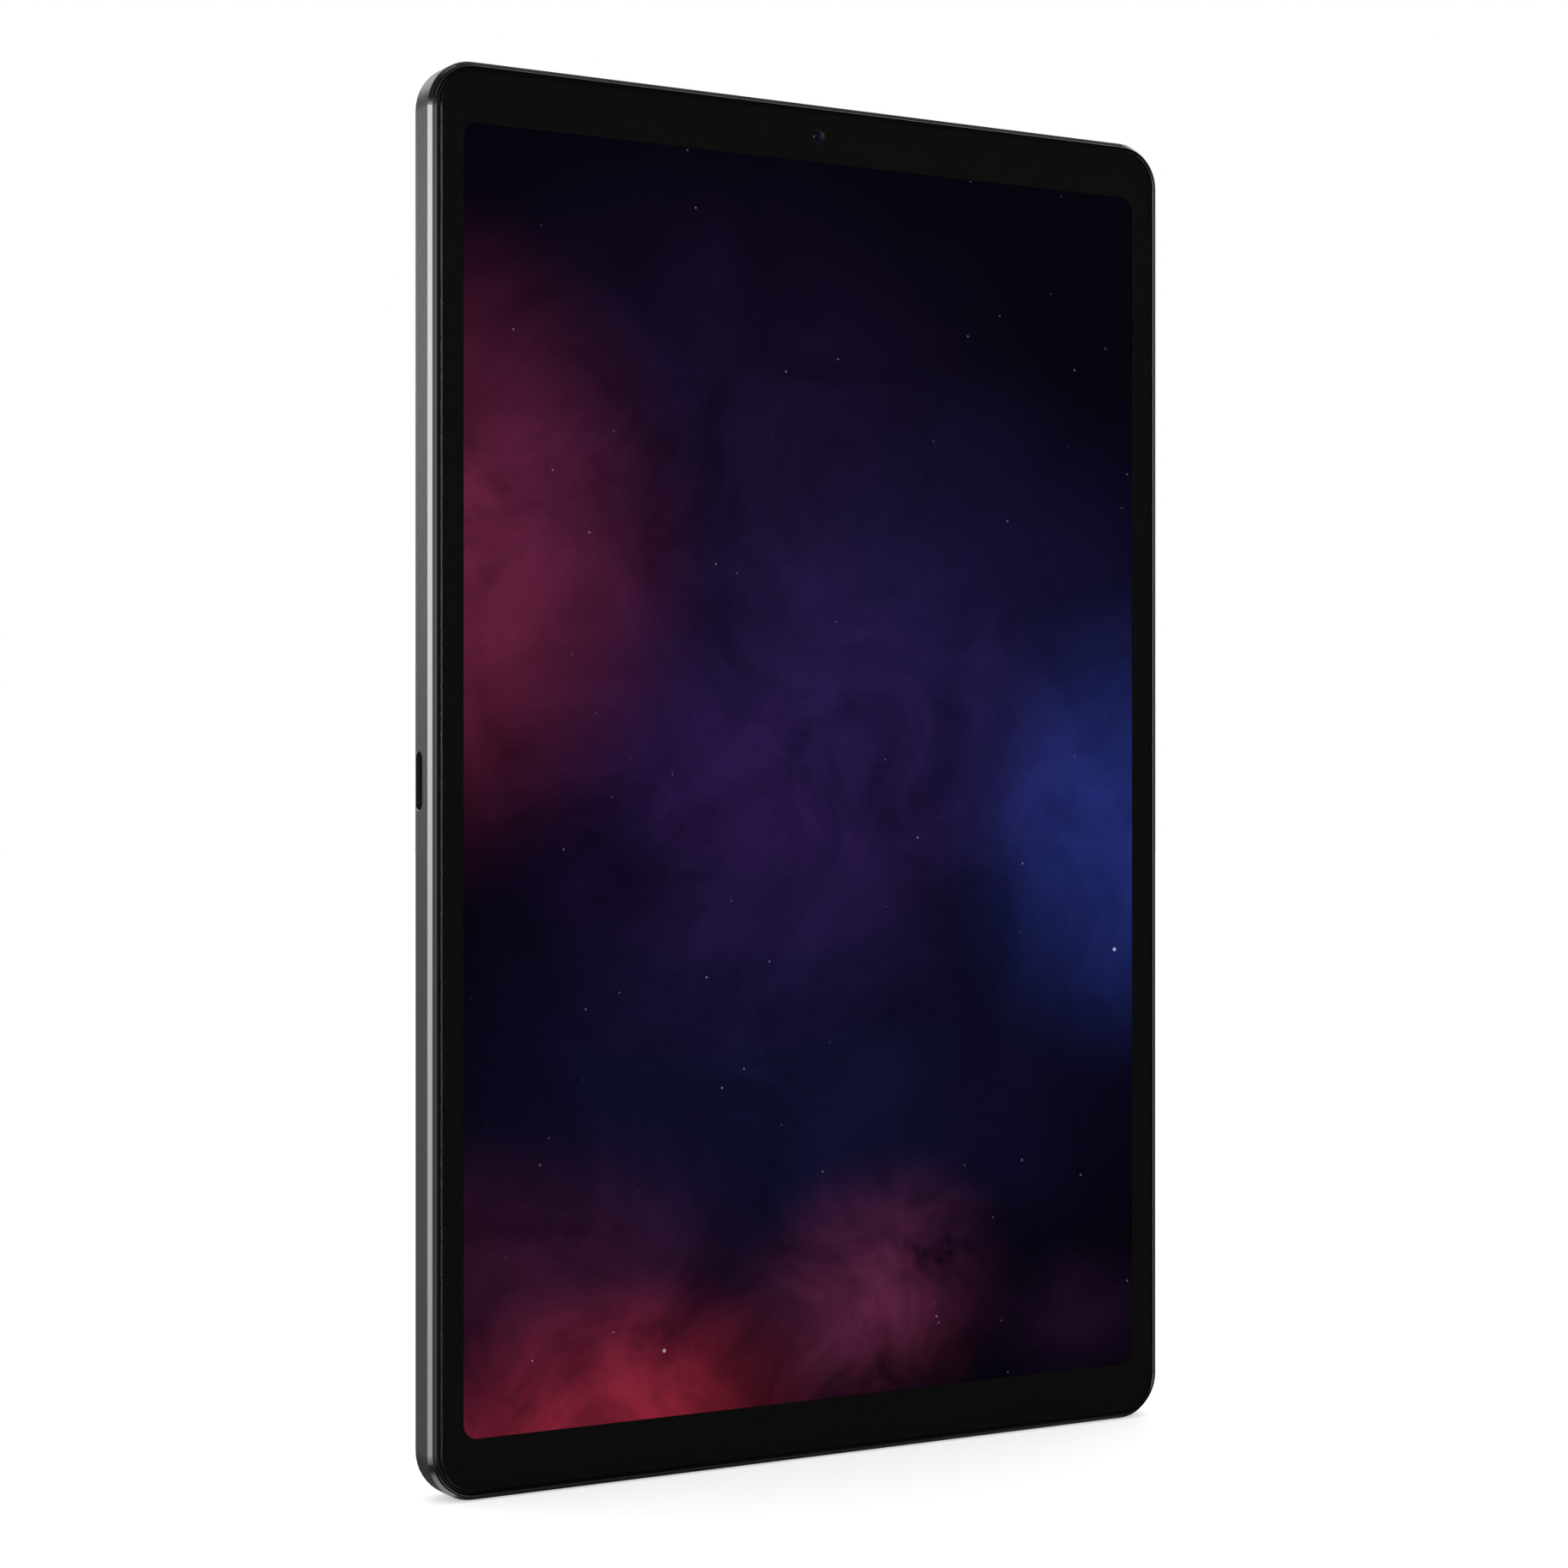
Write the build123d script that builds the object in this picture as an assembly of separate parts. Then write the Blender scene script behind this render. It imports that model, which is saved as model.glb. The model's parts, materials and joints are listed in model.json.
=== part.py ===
from build123d import *
import os

# Tablet computer, standing upright on its bottom edge.
# X runs across the width, Z up the height, Y through the thickness: the glass faces -Y
# and the metal back faces +Y. The origin is at the middle of the bottom edge, half way
# through the whole thickness. Depths are counted in mm from the front of the glass.

# ---- body ----
body_width = 129.5
body_height = 208.0
body_corner = 7.0
wall_thickness = 1.5
back_thickness = 0.8
edge_chamfer = 0.53
chamfer_start = 1.0
back_rounding = 2.4
inner_rounding = 0.6

# ---- display module, counted back from the front of the glass ----
side_border = 5.3
end_border = 8.95
display_corner = 2.2
glass_thickness = 0.70
glass_rounding = 0.36
glass_gap = 0.08
print_thickness = 0.05
optical_adhesive_thickness = 0.15
cell_thickness = 1.0
films_thickness = 0.20
guide_thickness = 0.40
tray_sheet = 0.15
sheet_gap = 0.10
cell_side_margin = 1.9
cell_top_margin = 2.2
cell_lower_margin = 5.2
driver_ledge = 3.0

# ---- black ring around the glass ----
ring_top = 0.35
ring_width = 0.65
glass_tape = 0.20
ring_step_height = 0.45
metal_land = 0.15
ring_tape = 0.15
ring_rounding = 0.30

# ---- middle frame and its screws ----
midframe_thickness = 0.60
boss_radius = 1.7
boss_inset = 3.3
corner_boss_inset = 5.0
screw_radius = 0.6
screw_head_radius = 1.25
screw_head_height = 0.35
screw_grip = 2.2
drive_radius = 0.45
drive_depth = 0.2

# ---- boss places up the height ----
boss_low = 40.0
boss_from_middle = 28.0
left_boss_drop = 34.0
right_boss_drop = 82.0
top_boss_drop = 20.0

# ---- small parts of the display ----
driver_chip_length = 24.0
driver_chip_width = 0.9
driver_chip_height = 0.3
driver_chip_share = 0.65
lamp_bar_width = 0.8
lamp_bar_inset = 0.45
flex_bend_drop = 0.35
flex_bend_low = 12.5
flex_bend_high = 14.0
glass_tape_inset = 0.3
ledge_overlap = 0.1

# ---- openings of the middle frame, and cooling ----
flex_window_z = 14.0
flex_window_width = 26.0
flex_window_height = 6.0
sensor_window_width = 4.6
chamber_corner = 4.0
pad_width = 16.0
pad_length = 14.0

# ---- battery details ----
cell_rounding = 0.4
pull_strip_width = 12.0
pull_strip_margin = 8.0
protection_strip_margin = 8.0
battery_lead_offset = 12.0
battery_lead_width = 6.0

# ---- shield cans and chips ----
power_can_left = 4.0
power_can_right = 26.0
processor_can_z = 16.75
processor_can_width = 18.0
processor_can_length = 29.5
power_can_z = 9.0
power_can_length = 14.0
can_corner = 0.8
processor_size = 13.5
memory_z = 24.5
memory_width = 12.0
memory_length = 11.0
storage_offset = 17.0
storage_z = 20.0
storage_width = 11.5
storage_length = 13.0
power_chip_size = 5.0

# ---- ports and sound ----
tongue_root = 1.6
port_board_margin = 8.0
port_flex_drop = 1.5
speaker_corner = 1.5
speaker_mouth = 2.5
mesh_margin = 0.8
microphone_inset = 1.5
microphone_width = 4.0
microphone_half_depth = 0.6
light_sensor_width = 3.6
light_sensor_height = 2.2

# ---- camera details ----
front_module_back = 4.6
lens_ring_seat = 0.6
flash_sink = 0.05
flash_lamp_size = 2.4
camera_seat_depth = 0.4
camera_board_thickness = 0.6
focus_barrel_wall = 0.8
macro_module = 6.0
macro_seat_width = 4.0
macro_margin = 1.4
macro_lens_radius_inside = 2.4
macro_rise = 0.3

# ---- key details ----
stem_height = 1.8
stem_depth = 1.2
volume_stem_inset = 2.5
switch_margin = 0.4

# ---- clearances ----
fit_gap = 0.02
seat_gap = 0.10
key_gap = 0.12
room_gap = 0.30

# ---- battery ----
battery_thickness = 3.0
battery_room = 0.5
battery_tape_thickness = 0.15
battery_split = 1.0
battery_low = 43.0
battery_top_offset = 49.0
battery_left_inset = 11.5
battery_right_inset = 5.7
battery_corner = 2.0
protection_strip_gap = 0.3
protection_strip_width = 2.2
protection_strip_depth = 0.6
protection_strip_thickness = 0.8

# ---- circuit boards ----
board_thickness = 0.7
board_standoff = 1.2
board_side_inset = 6.8
board_low_offset = 46.0
board_step_offset = 26.0
board_top_offset = 12.5
shield_height = 1.2
shield_sheet = 0.15
chip_height = 0.85
flex_thickness = 0.10
lower_board_width = 30.0
lower_board_low = 3.0
lower_board_high = 34.0
plug_height = 0.75
plug_size = 3.0
display_plug = (17.5, 20.0)
link_plug = (30.0, 7.0)

# ---- cooling ----
chamber_thickness = 0.40
chamber_width = 38.0
chamber_length = 78.0

# ---- charging and data ports, both of the same reversible kind ----
port_slot_length = 8.46
port_slot_height = 2.6
port_sheet = 0.2
port_shell_length = 7.2
port_tongue_length = 4.4
port_tongue_width = 6.6
port_tongue_thickness = 0.7
port_rim_chamfer = 0.12

# ---- sound ----
speaker_side_inset = 10.75
speaker_board_gap = 7.0
speaker_height = 3.0
upper_speaker_length = 9.0
lower_speaker_length = 26.0
grille_count = 8
grille_pitch = 2.2
grille_radius = 0.6
mesh_thickness = 0.25
microphone_radius = 0.5
microphone_x = 27.0
haptic_length = 20.0
haptic_width = 9.0
haptic_height = 3.0
haptic_sheet = 0.3
haptic_travel = 0.3

# ---- cameras ----
front_lens_radius = 1.7
front_module = 5.0
light_sensor_x = 9.0
island_length = 40.0
island_width = 19.0
island_rise = 1.3
island_sink = 0.3
island_margin = 6.5
island_wall = 1.2
island_plate = 0.7
island_rounding = 0.5
lens_ring_rise = 0.3
lens_ring_wall = 1.3
main_glass_radius = 5.2
macro_glass_radius = 3.2
flash_radius = 2.2
lens_spacing = 13.5
flash_spacing = 9.5
lens_glass_thickness = 0.6
camera_module = 9.4
focus_radius = 3.3
focus_length = 3.4
focus_travel = 0.25
window_gap = 0.75
module_seat = 0.2

# ---- keys on the right-hand side ----
key_frame_gap = 0.2
key_height = 2.0
key_proud = 0.35
key_flange = 0.35
key_flange_thickness = 0.6
key_stem_height = 0.2
power_key_length = 12.0
power_key_down = 36.0
power_key_travel = 0.25
volume_key_length = 22.0
volume_key_down = 60.0
rocking_rib_radius = 0.3
switch_height = 0.3
switch_size = 2.2
bracket_thickness = 0.4

# ---- antenna breaks across the short edges ----
antenna_break_width = 1.2
antenna_break_inset = 9.5
antenna_break_reach = 5.5

# ---- depths of the display stack, from the front of the glass backwards ----
print_back = glass_thickness + print_thickness
cell_front = print_back + optical_adhesive_thickness
cell_back = cell_front + cell_thickness
films_back = cell_back + films_thickness
guide_back = films_back + guide_thickness
tray_back = guide_back + tray_sheet
midframe_front = tray_back + sheet_gap
midframe_back = midframe_front + midframe_thickness

# ---- depths of what lies behind the middle frame ----
battery_front = midframe_back + battery_room
battery_back = battery_front + battery_thickness
cavity_floor = battery_back + battery_tape_thickness
body_thickness = cavity_floor + back_thickness
board_back = cavity_floor - board_standoff
board_front = board_back - board_thickness
shield_front = board_front - shield_height
small_board_front = cavity_floor - board_thickness
port_depth = small_board_front - port_sheet - port_slot_height / 2
speaker_back = cavity_floor - seat_gap
speaker_front = speaker_back - speaker_height
haptic_depth = cavity_floor - haptic_height / 2
island_top = body_thickness + island_rise
lens_ring_top = island_top + lens_ring_rise
window_front = lens_ring_top - seat_gap
window_back = window_front - lens_glass_thickness
camera_top = window_back - focus_travel - window_gap
glass_y = -lens_ring_top / 2

# ---- insets of the ring and the glass from the outside of the metal ----
rebate_inset = edge_chamfer + metal_land
ring_outer_inset = rebate_inset + fit_gap
ring_inner_inset = ring_outer_inset + ring_width
glass_inset = ring_inner_inset + glass_gap
cell_side_inset = side_border - cell_side_margin
ring_ledge_inset = cell_side_inset - 5 * seat_gap
ring_ledge_depth = print_back + glass_tape
ring_base = midframe_front - ring_tape
ring_step_depth = ring_base - ring_step_height
skirt_inset = wall_thickness + seat_gap

# ---- places across the width and up the height ----
half_width = body_width / 2
front_camera_z = body_height - (ring_ledge_inset + end_border - cell_top_margin) / 2
camera_z = body_height - island_margin - island_width / 2
island_x = half_width - island_margin - island_length / 2
main_lens_x = island_x + (island_length - island_width) / 2
macro_lens_x = main_lens_x - lens_spacing
flash_x = macro_lens_x - flash_spacing
antenna_break_x = half_width - antenna_break_inset
board_low = body_height - board_low_offset
board_step_right = island_x - island_length / 2 - 1.0
processor_x = 2.0 - half_width / 2
processor_z = board_low + 10.5
speaker_left = speaker_side_inset - half_width
speaker_right = -lower_board_width / 2 - speaker_board_gap
speaker_width = speaker_right - speaker_left
speaker_centre = (speaker_left + speaker_right) / 2
haptic_x = half_width - board_side_inset - haptic_length / 2
haptic_z = 24.0

# ---- keys: insets from the outside of the wall, outermost first ----
key_depth = midframe_front + key_frame_gap + key_flange + key_height / 2
power_key_z = body_height - power_key_down
volume_key_z = body_height - volume_key_down
flange_outer = wall_thickness + room_gap
flange_inner = flange_outer + key_flange_thickness
stem_end = flange_inner + key_stem_height
switch_outer = stem_end + power_key_travel + 2 * fit_gap
switch_inner = switch_outer + switch_height
bracket_inner = switch_inner + flex_thickness + bracket_thickness


def layer(outline, front, back):
    """Flat piece: an outline drawn as X across and Z up, filled from one depth to another."""
    face = Plane.XZ.offset(-(glass_y + front)) * outline
    return extrude(face, -(back - front))


def plate(x, z, width, height, front, back, corner=0.0):
    """Rectangular flat piece centred at x and z, with rounded corners where a radius is given."""
    shape = RectangleRounded(width, height, corner) if corner else Rectangle(width, height)
    return layer(Pos(x, z) * shape, front, back)


def disc(x, z, radius, front, back):
    """Round piece whose axis runs through the thickness of the tablet."""
    return layer(Pos(x, z) * Circle(radius), front, back)


def outline(inset):
    """The body's rounded rectangle, drawn in by an even amount all round."""
    shape = RectangleRounded(body_width - 2 * inset, body_height - 2 * inset, body_corner - inset)
    return Pos(0, body_height / 2) * shape


def display_window():
    """The visible picture area."""
    width = body_width - 2 * side_border
    height = body_height - 2 * end_border
    return Pos(0, body_height / 2) * RectangleRounded(width, height, display_corner)


def cell_outline(shrink=0.0, low_lift=0.0):
    """The liquid-crystal module's outline: a little larger than the picture, most below it."""
    side_inset = cell_side_inset + shrink
    width = body_width - 2 * side_inset
    low = end_border - cell_lower_margin + shrink + low_lift
    high = body_height - end_border + cell_top_margin - shrink
    return Pos(0, (low + high) / 2) * RectangleRounded(width, high - low, body_corner - side_inset)


def side_bar(side, z, depth, length, height, outer, inner, taper=0):
    """Round-ended bar lying across a long side wall, from one inset to another."""
    plane = Plane(origin=(side * (half_width - outer), glass_y + depth, z),
                  x_dir=(0, 0, 1), z_dir=(-side, 0, 0))
    return extrude(plane * SlotOverall(length, height), inner - outer, taper=taper)


def end_bar(x, end, depth, length, height, outer, inner, taper=0):
    """Round-ended bar lying across the bottom wall (end 0) or the top wall (end 1)."""
    edge_z = outer if end == 0 else body_height - outer
    plane = Plane(origin=(x, glass_y + depth, edge_z), x_dir=(1, 0, 0),
                  z_dir=(0, 0, 1 if end == 0 else -1))
    return extrude(plane * SlotOverall(length, height), inner - outer, taper=taper)


def end_hole(x, end, depth, radius, outer, inner):
    """Round hole through the bottom wall (end 0) or the top wall (end 1)."""
    edge_z = outer if end == 0 else body_height - outer
    plane = Plane(origin=(x, glass_y + depth, edge_z), x_dir=(1, 0, 0),
                  z_dir=(0, 0, 1 if end == 0 else -1))
    return extrude(plane * Circle(radius), inner - outer)


def ribbon(points, x, width):
    """Flat flexible circuit: a folded strip given by its depth and height points."""
    line = Polyline(*[(glass_y + depth, z) for depth, z in points])
    return extrude(Plane.YZ.offset(x - width / 2) * trace(line, flex_thickness), width)


def screw(x, z, seat, grip):
    """Small pan-head screw with a round drive recess, its head in front of its seat."""
    head = disc(x, z, screw_head_radius, seat - screw_head_height, seat)
    shank = disc(x, z, screw_radius, seat, seat + grip)
    top = seat - screw_head_height
    return head + shank - disc(x, z, drive_radius, top, top + drive_depth)


def boss_places():
    """Where the middle frame is screwed to the housing."""
    side_x = half_width - boss_inset
    corner_x = half_width - corner_boss_inset
    middle = body_height / 2
    ends = (corner_boss_inset, body_height - corner_boss_inset)
    corners = [(side * corner_x, z) for side in (-1, 1) for z in ends]
    left = [(-side_x, z) for z in (boss_low, middle - boss_from_middle, middle + boss_from_middle,
                                   body_height - left_boss_drop)]
    right = [(side_x, z) for z in (boss_low, middle - boss_from_middle, body_height - right_boss_drop,
                                   body_height - top_boss_drop)]
    return corners + left + right


def board_screw_places():
    """Where the main board is screwed down."""
    x = half_width - board_side_inset - 3.0
    low = board_low + 3.0
    high = body_height - board_top_offset - 3.0
    return [(-x, low), (x, low), (-x, high), (board_step_right - 3.0, high), (0.0, low)]


# ---------------- housing ----------------

def port_cut(bar):
    """Port slot through a wall, its outer edge broken by a small chamfer."""
    rim_length = port_slot_length + 2 * port_rim_chamfer
    rim_height = port_slot_height + 2 * port_rim_chamfer
    rim = bar(rim_length, rim_height, 0.0, port_rim_chamfer, taper=45)
    return bar(port_slot_length, port_slot_height, -1.0, wall_thickness + 0.5) + rim


def sound_holes():
    """Drilled speaker rows and one microphone hole in each short edge."""
    start = speaker_centre - (grille_count - 1) * grille_pitch / 2
    places = [(start + i * grille_pitch, grille_radius) for i in range(grille_count)]
    places.append((microphone_x, microphone_radius))
    reach = wall_thickness + 0.5
    return [end_hole(x, end, port_depth, radius, -1.0, reach) for x, radius in places for end in (0, 1)]


def key_cut(z, length):
    """Slot in the right-hand wall that a key moves in."""
    return side_bar(1, z, key_depth, length + 2 * key_gap, key_height + 2 * key_gap,
                    -1.0, wall_thickness + 1.0)


def antenna_blocks():
    """Blocks that take in each antenna break, across the wall and a little way onto the back."""
    reach = 2 * antenna_break_reach
    return [plate(x, z, antenna_break_width, reach, ring_step_depth, body_thickness)
            for x in (-antenna_break_x, antenna_break_x) for z in (0.0, body_height)]


def outer_body():
    """The outside shape of the housing: rounded to the back, chamfered towards the glass."""
    body = layer(outline(0), chamfer_start, body_thickness)
    body = fillet(body.edges().group_by(Axis.Y)[-1], back_rounding)
    return chamfer(body.edges().group_by(Axis.Y)[0], edge_chamfer)


def inner_cavity():
    """The hollow of the housing, with a rebate round its mouth for the black ring."""
    cavity = layer(outline(wall_thickness), 0, cavity_floor)
    cavity = fillet(cavity.edges().group_by(Axis.Y)[-1], inner_rounding)
    return cavity + layer(outline(rebate_inset), 0, ring_step_depth)


def rear_housing():
    """Machined metal tray: walls, back, screw bosses and every opening in them."""
    screw_hole_end = midframe_back + screw_grip + seat_gap
    housing = outer_body() - inner_cavity()
    body = outer_body()
    for x, z in boss_places():
        housing += disc(x, z, boss_radius, midframe_back, cavity_floor) & body
    for x, z in board_screw_places():
        housing += disc(x, z, boss_radius, board_back, cavity_floor)
    for x, z in boss_places():
        housing -= disc(x, z, screw_radius + fit_gap, midframe_back, screw_hole_end)
    for x, z in board_screw_places():
        housing -= disc(x, z, screw_radius + fit_gap, board_back, cavity_floor)
    housing -= port_cut(side_port_bar)
    housing -= port_cut(lower_port_bar)
    housing -= sound_holes()
    housing -= key_cut(power_key_z, power_key_length)
    housing -= key_cut(volume_key_z, volume_key_length)
    housing -= antenna_blocks()
    housing -= island_shape(fit_gap, body_thickness - island_sink, body_thickness)
    inner = island_shape(-island_wall - 1.0, cavity_floor - 0.1, body_thickness)
    return housing - inner


def antenna_bands():
    """Plastic fillings of the antenna breaks, flush with the metal."""
    outside = outer_body()
    inside = inner_cavity()
    return [(block & outside) - inside for block in antenna_blocks()]


# ---------------- display ----------------

def front_glass():
    glass = layer(outline(glass_inset), 0, glass_thickness)
    return fillet(glass.edges().group_by(Axis.Y)[0], glass_rounding)


def border_print():
    """Black border printed on the back of the glass, open over the picture and the lens."""
    border = layer(outline(glass_inset + fit_gap), glass_thickness, print_back)
    border -= layer(display_window(), glass_thickness, print_back)
    return border - disc(0, front_camera_z, front_lens_radius - 0.6, glass_thickness, print_back)


def optical_adhesive():
    adhesive = layer(cell_outline(low_lift=driver_ledge), print_back, cell_front)
    return adhesive + layer(display_window(), glass_thickness, print_back)


def lcd_cell():
    """Colour-filter glass on a longer array glass, which leaves a ledge for the driver."""
    middle = (cell_front + cell_back) / 2
    filter_glass = layer(cell_outline(low_lift=driver_ledge), cell_front, middle)
    return filter_glass + layer(cell_outline(), middle, cell_back)


def driver_chip():
    low = end_border - cell_lower_margin
    middle = (cell_front + cell_back) / 2
    return plate(0, low + driver_ledge * driver_chip_share, driver_chip_length, driver_chip_width,
                 middle - driver_chip_height, middle)


def diffuser_films():
    return layer(cell_outline(tray_sheet + fit_gap), cell_back, films_back)


def light_guide():
    return layer(cell_outline(tray_sheet + fit_gap, low_lift=1.0), films_back, guide_back)


def led_bar():
    """Row of lamps that shines into the lower edge of the light guide."""
    low = end_border - cell_lower_margin + tray_sheet + fit_gap
    return plate(0, low + lamp_bar_inset, body_width - 2 * body_corner, lamp_bar_width, films_back,
                 guide_back)


def backlight_tray():
    """Shallow pressed-steel tray that holds the light guide and the films."""
    tray = layer(cell_outline(), cell_back, tray_back)
    return tray - layer(cell_outline(tray_sheet), cell_back, guide_back)


def display_flex():
    """Runs from the array glass round the tray, through the middle frame to the lower board."""
    low = end_border - cell_lower_margin
    middle = (cell_front + cell_back) / 2 - flex_thickness / 2
    between = (tray_back + midframe_front) / 2
    landing = small_board_front - plug_height - flex_thickness / 2
    points = [(middle, low + 1.0), (middle, low - flex_bend_drop), (between, low - flex_bend_drop),
              (between, flex_bend_low),
              (landing, flex_bend_high), (landing, display_plug[0] + 1.0)]
    return ribbon(points, 0.0, display_plug[1])


def glass_adhesive():
    """Ring of tape between the printed border and the ledge of the black ring."""
    tape = layer(outline(glass_inset + glass_tape_inset), print_back, ring_ledge_depth)
    return tape - layer(outline(ring_ledge_inset), print_back, ring_ledge_depth)


def display_ring():
    """Glossy black ring: a rounded lip round the glass and a ledge that carries it."""
    lip = layer(outline(ring_outer_inset), ring_top, ring_step_depth)
    lip -= layer(outline(ring_inner_inset), ring_top, ring_step_depth)
    lip = fillet(lip.edges().group_by(Axis.Y)[0], ring_rounding)
    ledge = layer(outline(ring_inner_inset - ledge_overlap), ring_ledge_depth, ring_step_depth)
    ledge += layer(outline(skirt_inset), ring_step_depth, ring_base)
    ledge -= layer(outline(ring_ledge_inset), ring_ledge_depth, ring_base)
    return lip + ledge


def frame_adhesive():
    """Ring of tape that holds the display assembly to the middle frame."""
    tape = layer(outline(skirt_inset), ring_base, midframe_front)
    return tape - layer(outline(ring_ledge_inset), ring_base, midframe_front)


# ---------------- middle frame and cooling ----------------

def midframe():
    frame = layer(outline(skirt_inset), midframe_front, midframe_back)
    head_seat = midframe_front + screw_head_height
    for x, z in boss_places():
        frame -= disc(x, z, screw_head_radius + seat_gap, midframe_front, head_seat)
        frame -= disc(x, z, screw_radius + seat_gap, midframe_front, midframe_back)
    frame -= plate(0, flex_window_z, flex_window_width, flex_window_height, midframe_front,
                   midframe_back, 1.0)
    frame -= plate(0, front_camera_z, front_module + 2 * room_gap, front_module + 2 * room_gap,
                   midframe_front, midframe_back)
    frame -= plate(light_sensor_x, front_camera_z, sensor_window_width, 3.0, midframe_front, midframe_back)
    port = port_shell_length + wall_thickness + 2 * room_gap
    across = port_slot_length + 2 * port_sheet + 2 * room_gap
    frame -= plate(-half_width + port / 2, body_height / 2, port, across, midframe_front, midframe_back)
    frame -= plate(0, port / 2, across, port, midframe_front, midframe_back)
    key_low = volume_key_z - volume_key_length / 2 - key_flange - 2 * room_gap
    key_high = power_key_z + power_key_length / 2 + key_flange + 2 * room_gap
    key_room = 2 * (bracket_inner + room_gap)
    return frame - plate(half_width, (key_low + key_high) / 2, key_room, key_high - key_low,
                         midframe_front, midframe_back)


def midframe_screws():
    seat = midframe_front + screw_head_height
    return [screw(x, z, seat, screw_grip) for x, z in boss_places()]


def vapour_chamber():
    """Flat sealed heat spreader bonded to the back of the middle frame."""
    z = body_height - board_top_offset - chamber_length / 2 - 2.0
    back = midframe_back + chamber_thickness
    return plate(processor_x, z, chamber_width, chamber_length, midframe_back, back, chamber_corner)


def thermal_pad():
    """Soft pad between the processor's shield and the heat spreader."""
    return plate(processor_x, processor_z, pad_width, pad_length, midframe_back + chamber_thickness,
                 shield_front)


# ---------------- battery ----------------

def battery_rectangle(side):
    """Place and size of the left (-1) or right (1) cell."""
    low_x = -half_width + battery_left_inset
    high_x = half_width - battery_right_inset
    width = (high_x - low_x - battery_split) / 2
    x = low_x + width / 2 if side < 0 else high_x - width / 2
    top = body_height - battery_top_offset
    return x, (battery_low + top) / 2, width, top - battery_low


def battery_cell(side):
    x, z, width, height = battery_rectangle(side)
    cell = plate(x, z, width, height, battery_front, battery_back, battery_corner)
    return fillet(cell.edges().group_by(Axis.Y)[0], cell_rounding)


def battery_tape():
    """Two stretch-release strips under each cell."""
    strips = []
    for side in (-1, 1):
        x, z, width, height = battery_rectangle(side)
        for step in (-1, 1):
            strip_x = x + step * width / 4
            strips.append(plate(strip_x, z, pull_strip_width, height - pull_strip_margin, battery_back,
                                cavity_floor))
    return strips


def battery_board():
    """Protection circuit along the cells' top edge, and its short folded lead to the main board."""
    x, z, width, height = battery_rectangle(1)
    low = z + height / 2 + protection_strip_gap
    high = low + protection_strip_width
    front = battery_front + protection_strip_depth
    strip = plate(x, (low + high) / 2, width - protection_strip_margin, high - low, front,
                  front + protection_strip_thickness)
    on_strip = front - flex_thickness / 2
    on_plug = board_front - plug_height - flex_thickness / 2
    points = [(on_strip, low + 0.3), (on_strip, high + flex_thickness), (on_plug, board_low + 0.2),
              (on_plug, board_low + 5.0)]
    return [strip, ribbon(points, x + battery_lead_offset, battery_lead_width)]


# ---------------- boards and chips ----------------

def main_board():
    """Stepped board across the upper part, clear of the rear cameras."""
    width = body_width - 2 * board_side_inset
    step = body_height - board_step_offset
    high = body_height - board_top_offset
    left = -width / 2
    board = plate(0, (board_low + step) / 2, width, step - board_low, board_front, board_back)
    step_width = board_step_right - left
    step_x = left + step_width / 2
    board += plate(step_x, (step + high) / 2, step_width, high - step, board_front, board_back)
    for x, z in board_screw_places():
        board -= disc(x, z, screw_radius + seat_gap, board_front, board_back)
    return board


def shield_places():
    """Centre and size of the two shield cans on the main board."""
    left_edge = power_can_left
    right_edge = half_width - power_can_right
    power_width = right_edge - left_edge
    return [(processor_x, board_low + processor_can_z, processor_can_width, processor_can_length),
            (left_edge + power_width / 2, board_low + power_can_z, power_width, power_can_length)]


def shield_cans():
    cans = []
    for x, z, width, height in shield_places():
        can = plate(x, z, width, height, shield_front, board_front, 1.0)
        hollow = plate(x, z, width - 2 * shield_sheet, height - 2 * shield_sheet,
                       shield_front + shield_sheet, board_front, can_corner)
        cans.append(can - hollow)
    return cans


def chip(x, z, width, height):
    return plate(x, z, width, height, board_front - chip_height, board_front)


def processor():
    return chip(processor_x, processor_z, processor_size, processor_size)


def memory_chips():
    """Working memory above the processor and the storage chip beside them."""
    memory = chip(processor_x, board_low + memory_z, memory_width, memory_length)
    return [memory, chip(processor_x + storage_offset, board_low + storage_z, storage_width,
                         storage_length)]


def power_chips():
    x, z, width, height = shield_places()[1]
    return [chip(x + step * width / 4, z, power_chip_size, power_chip_size) for step in (-1, 0, 1)]


def connector_places():
    """Board-to-board plugs on the front of the main board."""
    left = -half_width + board_side_inset + 1.75
    right = half_width - board_side_inset - 3.0
    battery_x = battery_rectangle(1)[0] + battery_lead_offset
    return [(left, board_low + 12.0, 3.4, 8.0), (battery_x, board_low + 3.2, 7.0, 3.2),
            (0.0, board_low + 7.5, link_plug[1], 2.6), (right, board_low + 11.0, 3.0, 7.0)]


def board_connectors():
    return [plate(x, z, width, height, board_front - plug_height, board_front)
            for x, z, width, height in connector_places()]


def board_screws():
    return [screw(x, z, board_front, board_thickness + 0.9) for x, z in board_screw_places()]


def lower_board():
    """Small board at the bottom edge that carries the lower port and the plugs."""
    height = lower_board_high - lower_board_low
    middle = lower_board_low + height / 2
    board = plate(0, middle, lower_board_width, height, small_board_front, cavity_floor)
    for z, width in (display_plug, link_plug):
        board += plate(0, z, width, plug_size, small_board_front - plug_height, small_board_front)
    return board


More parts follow.
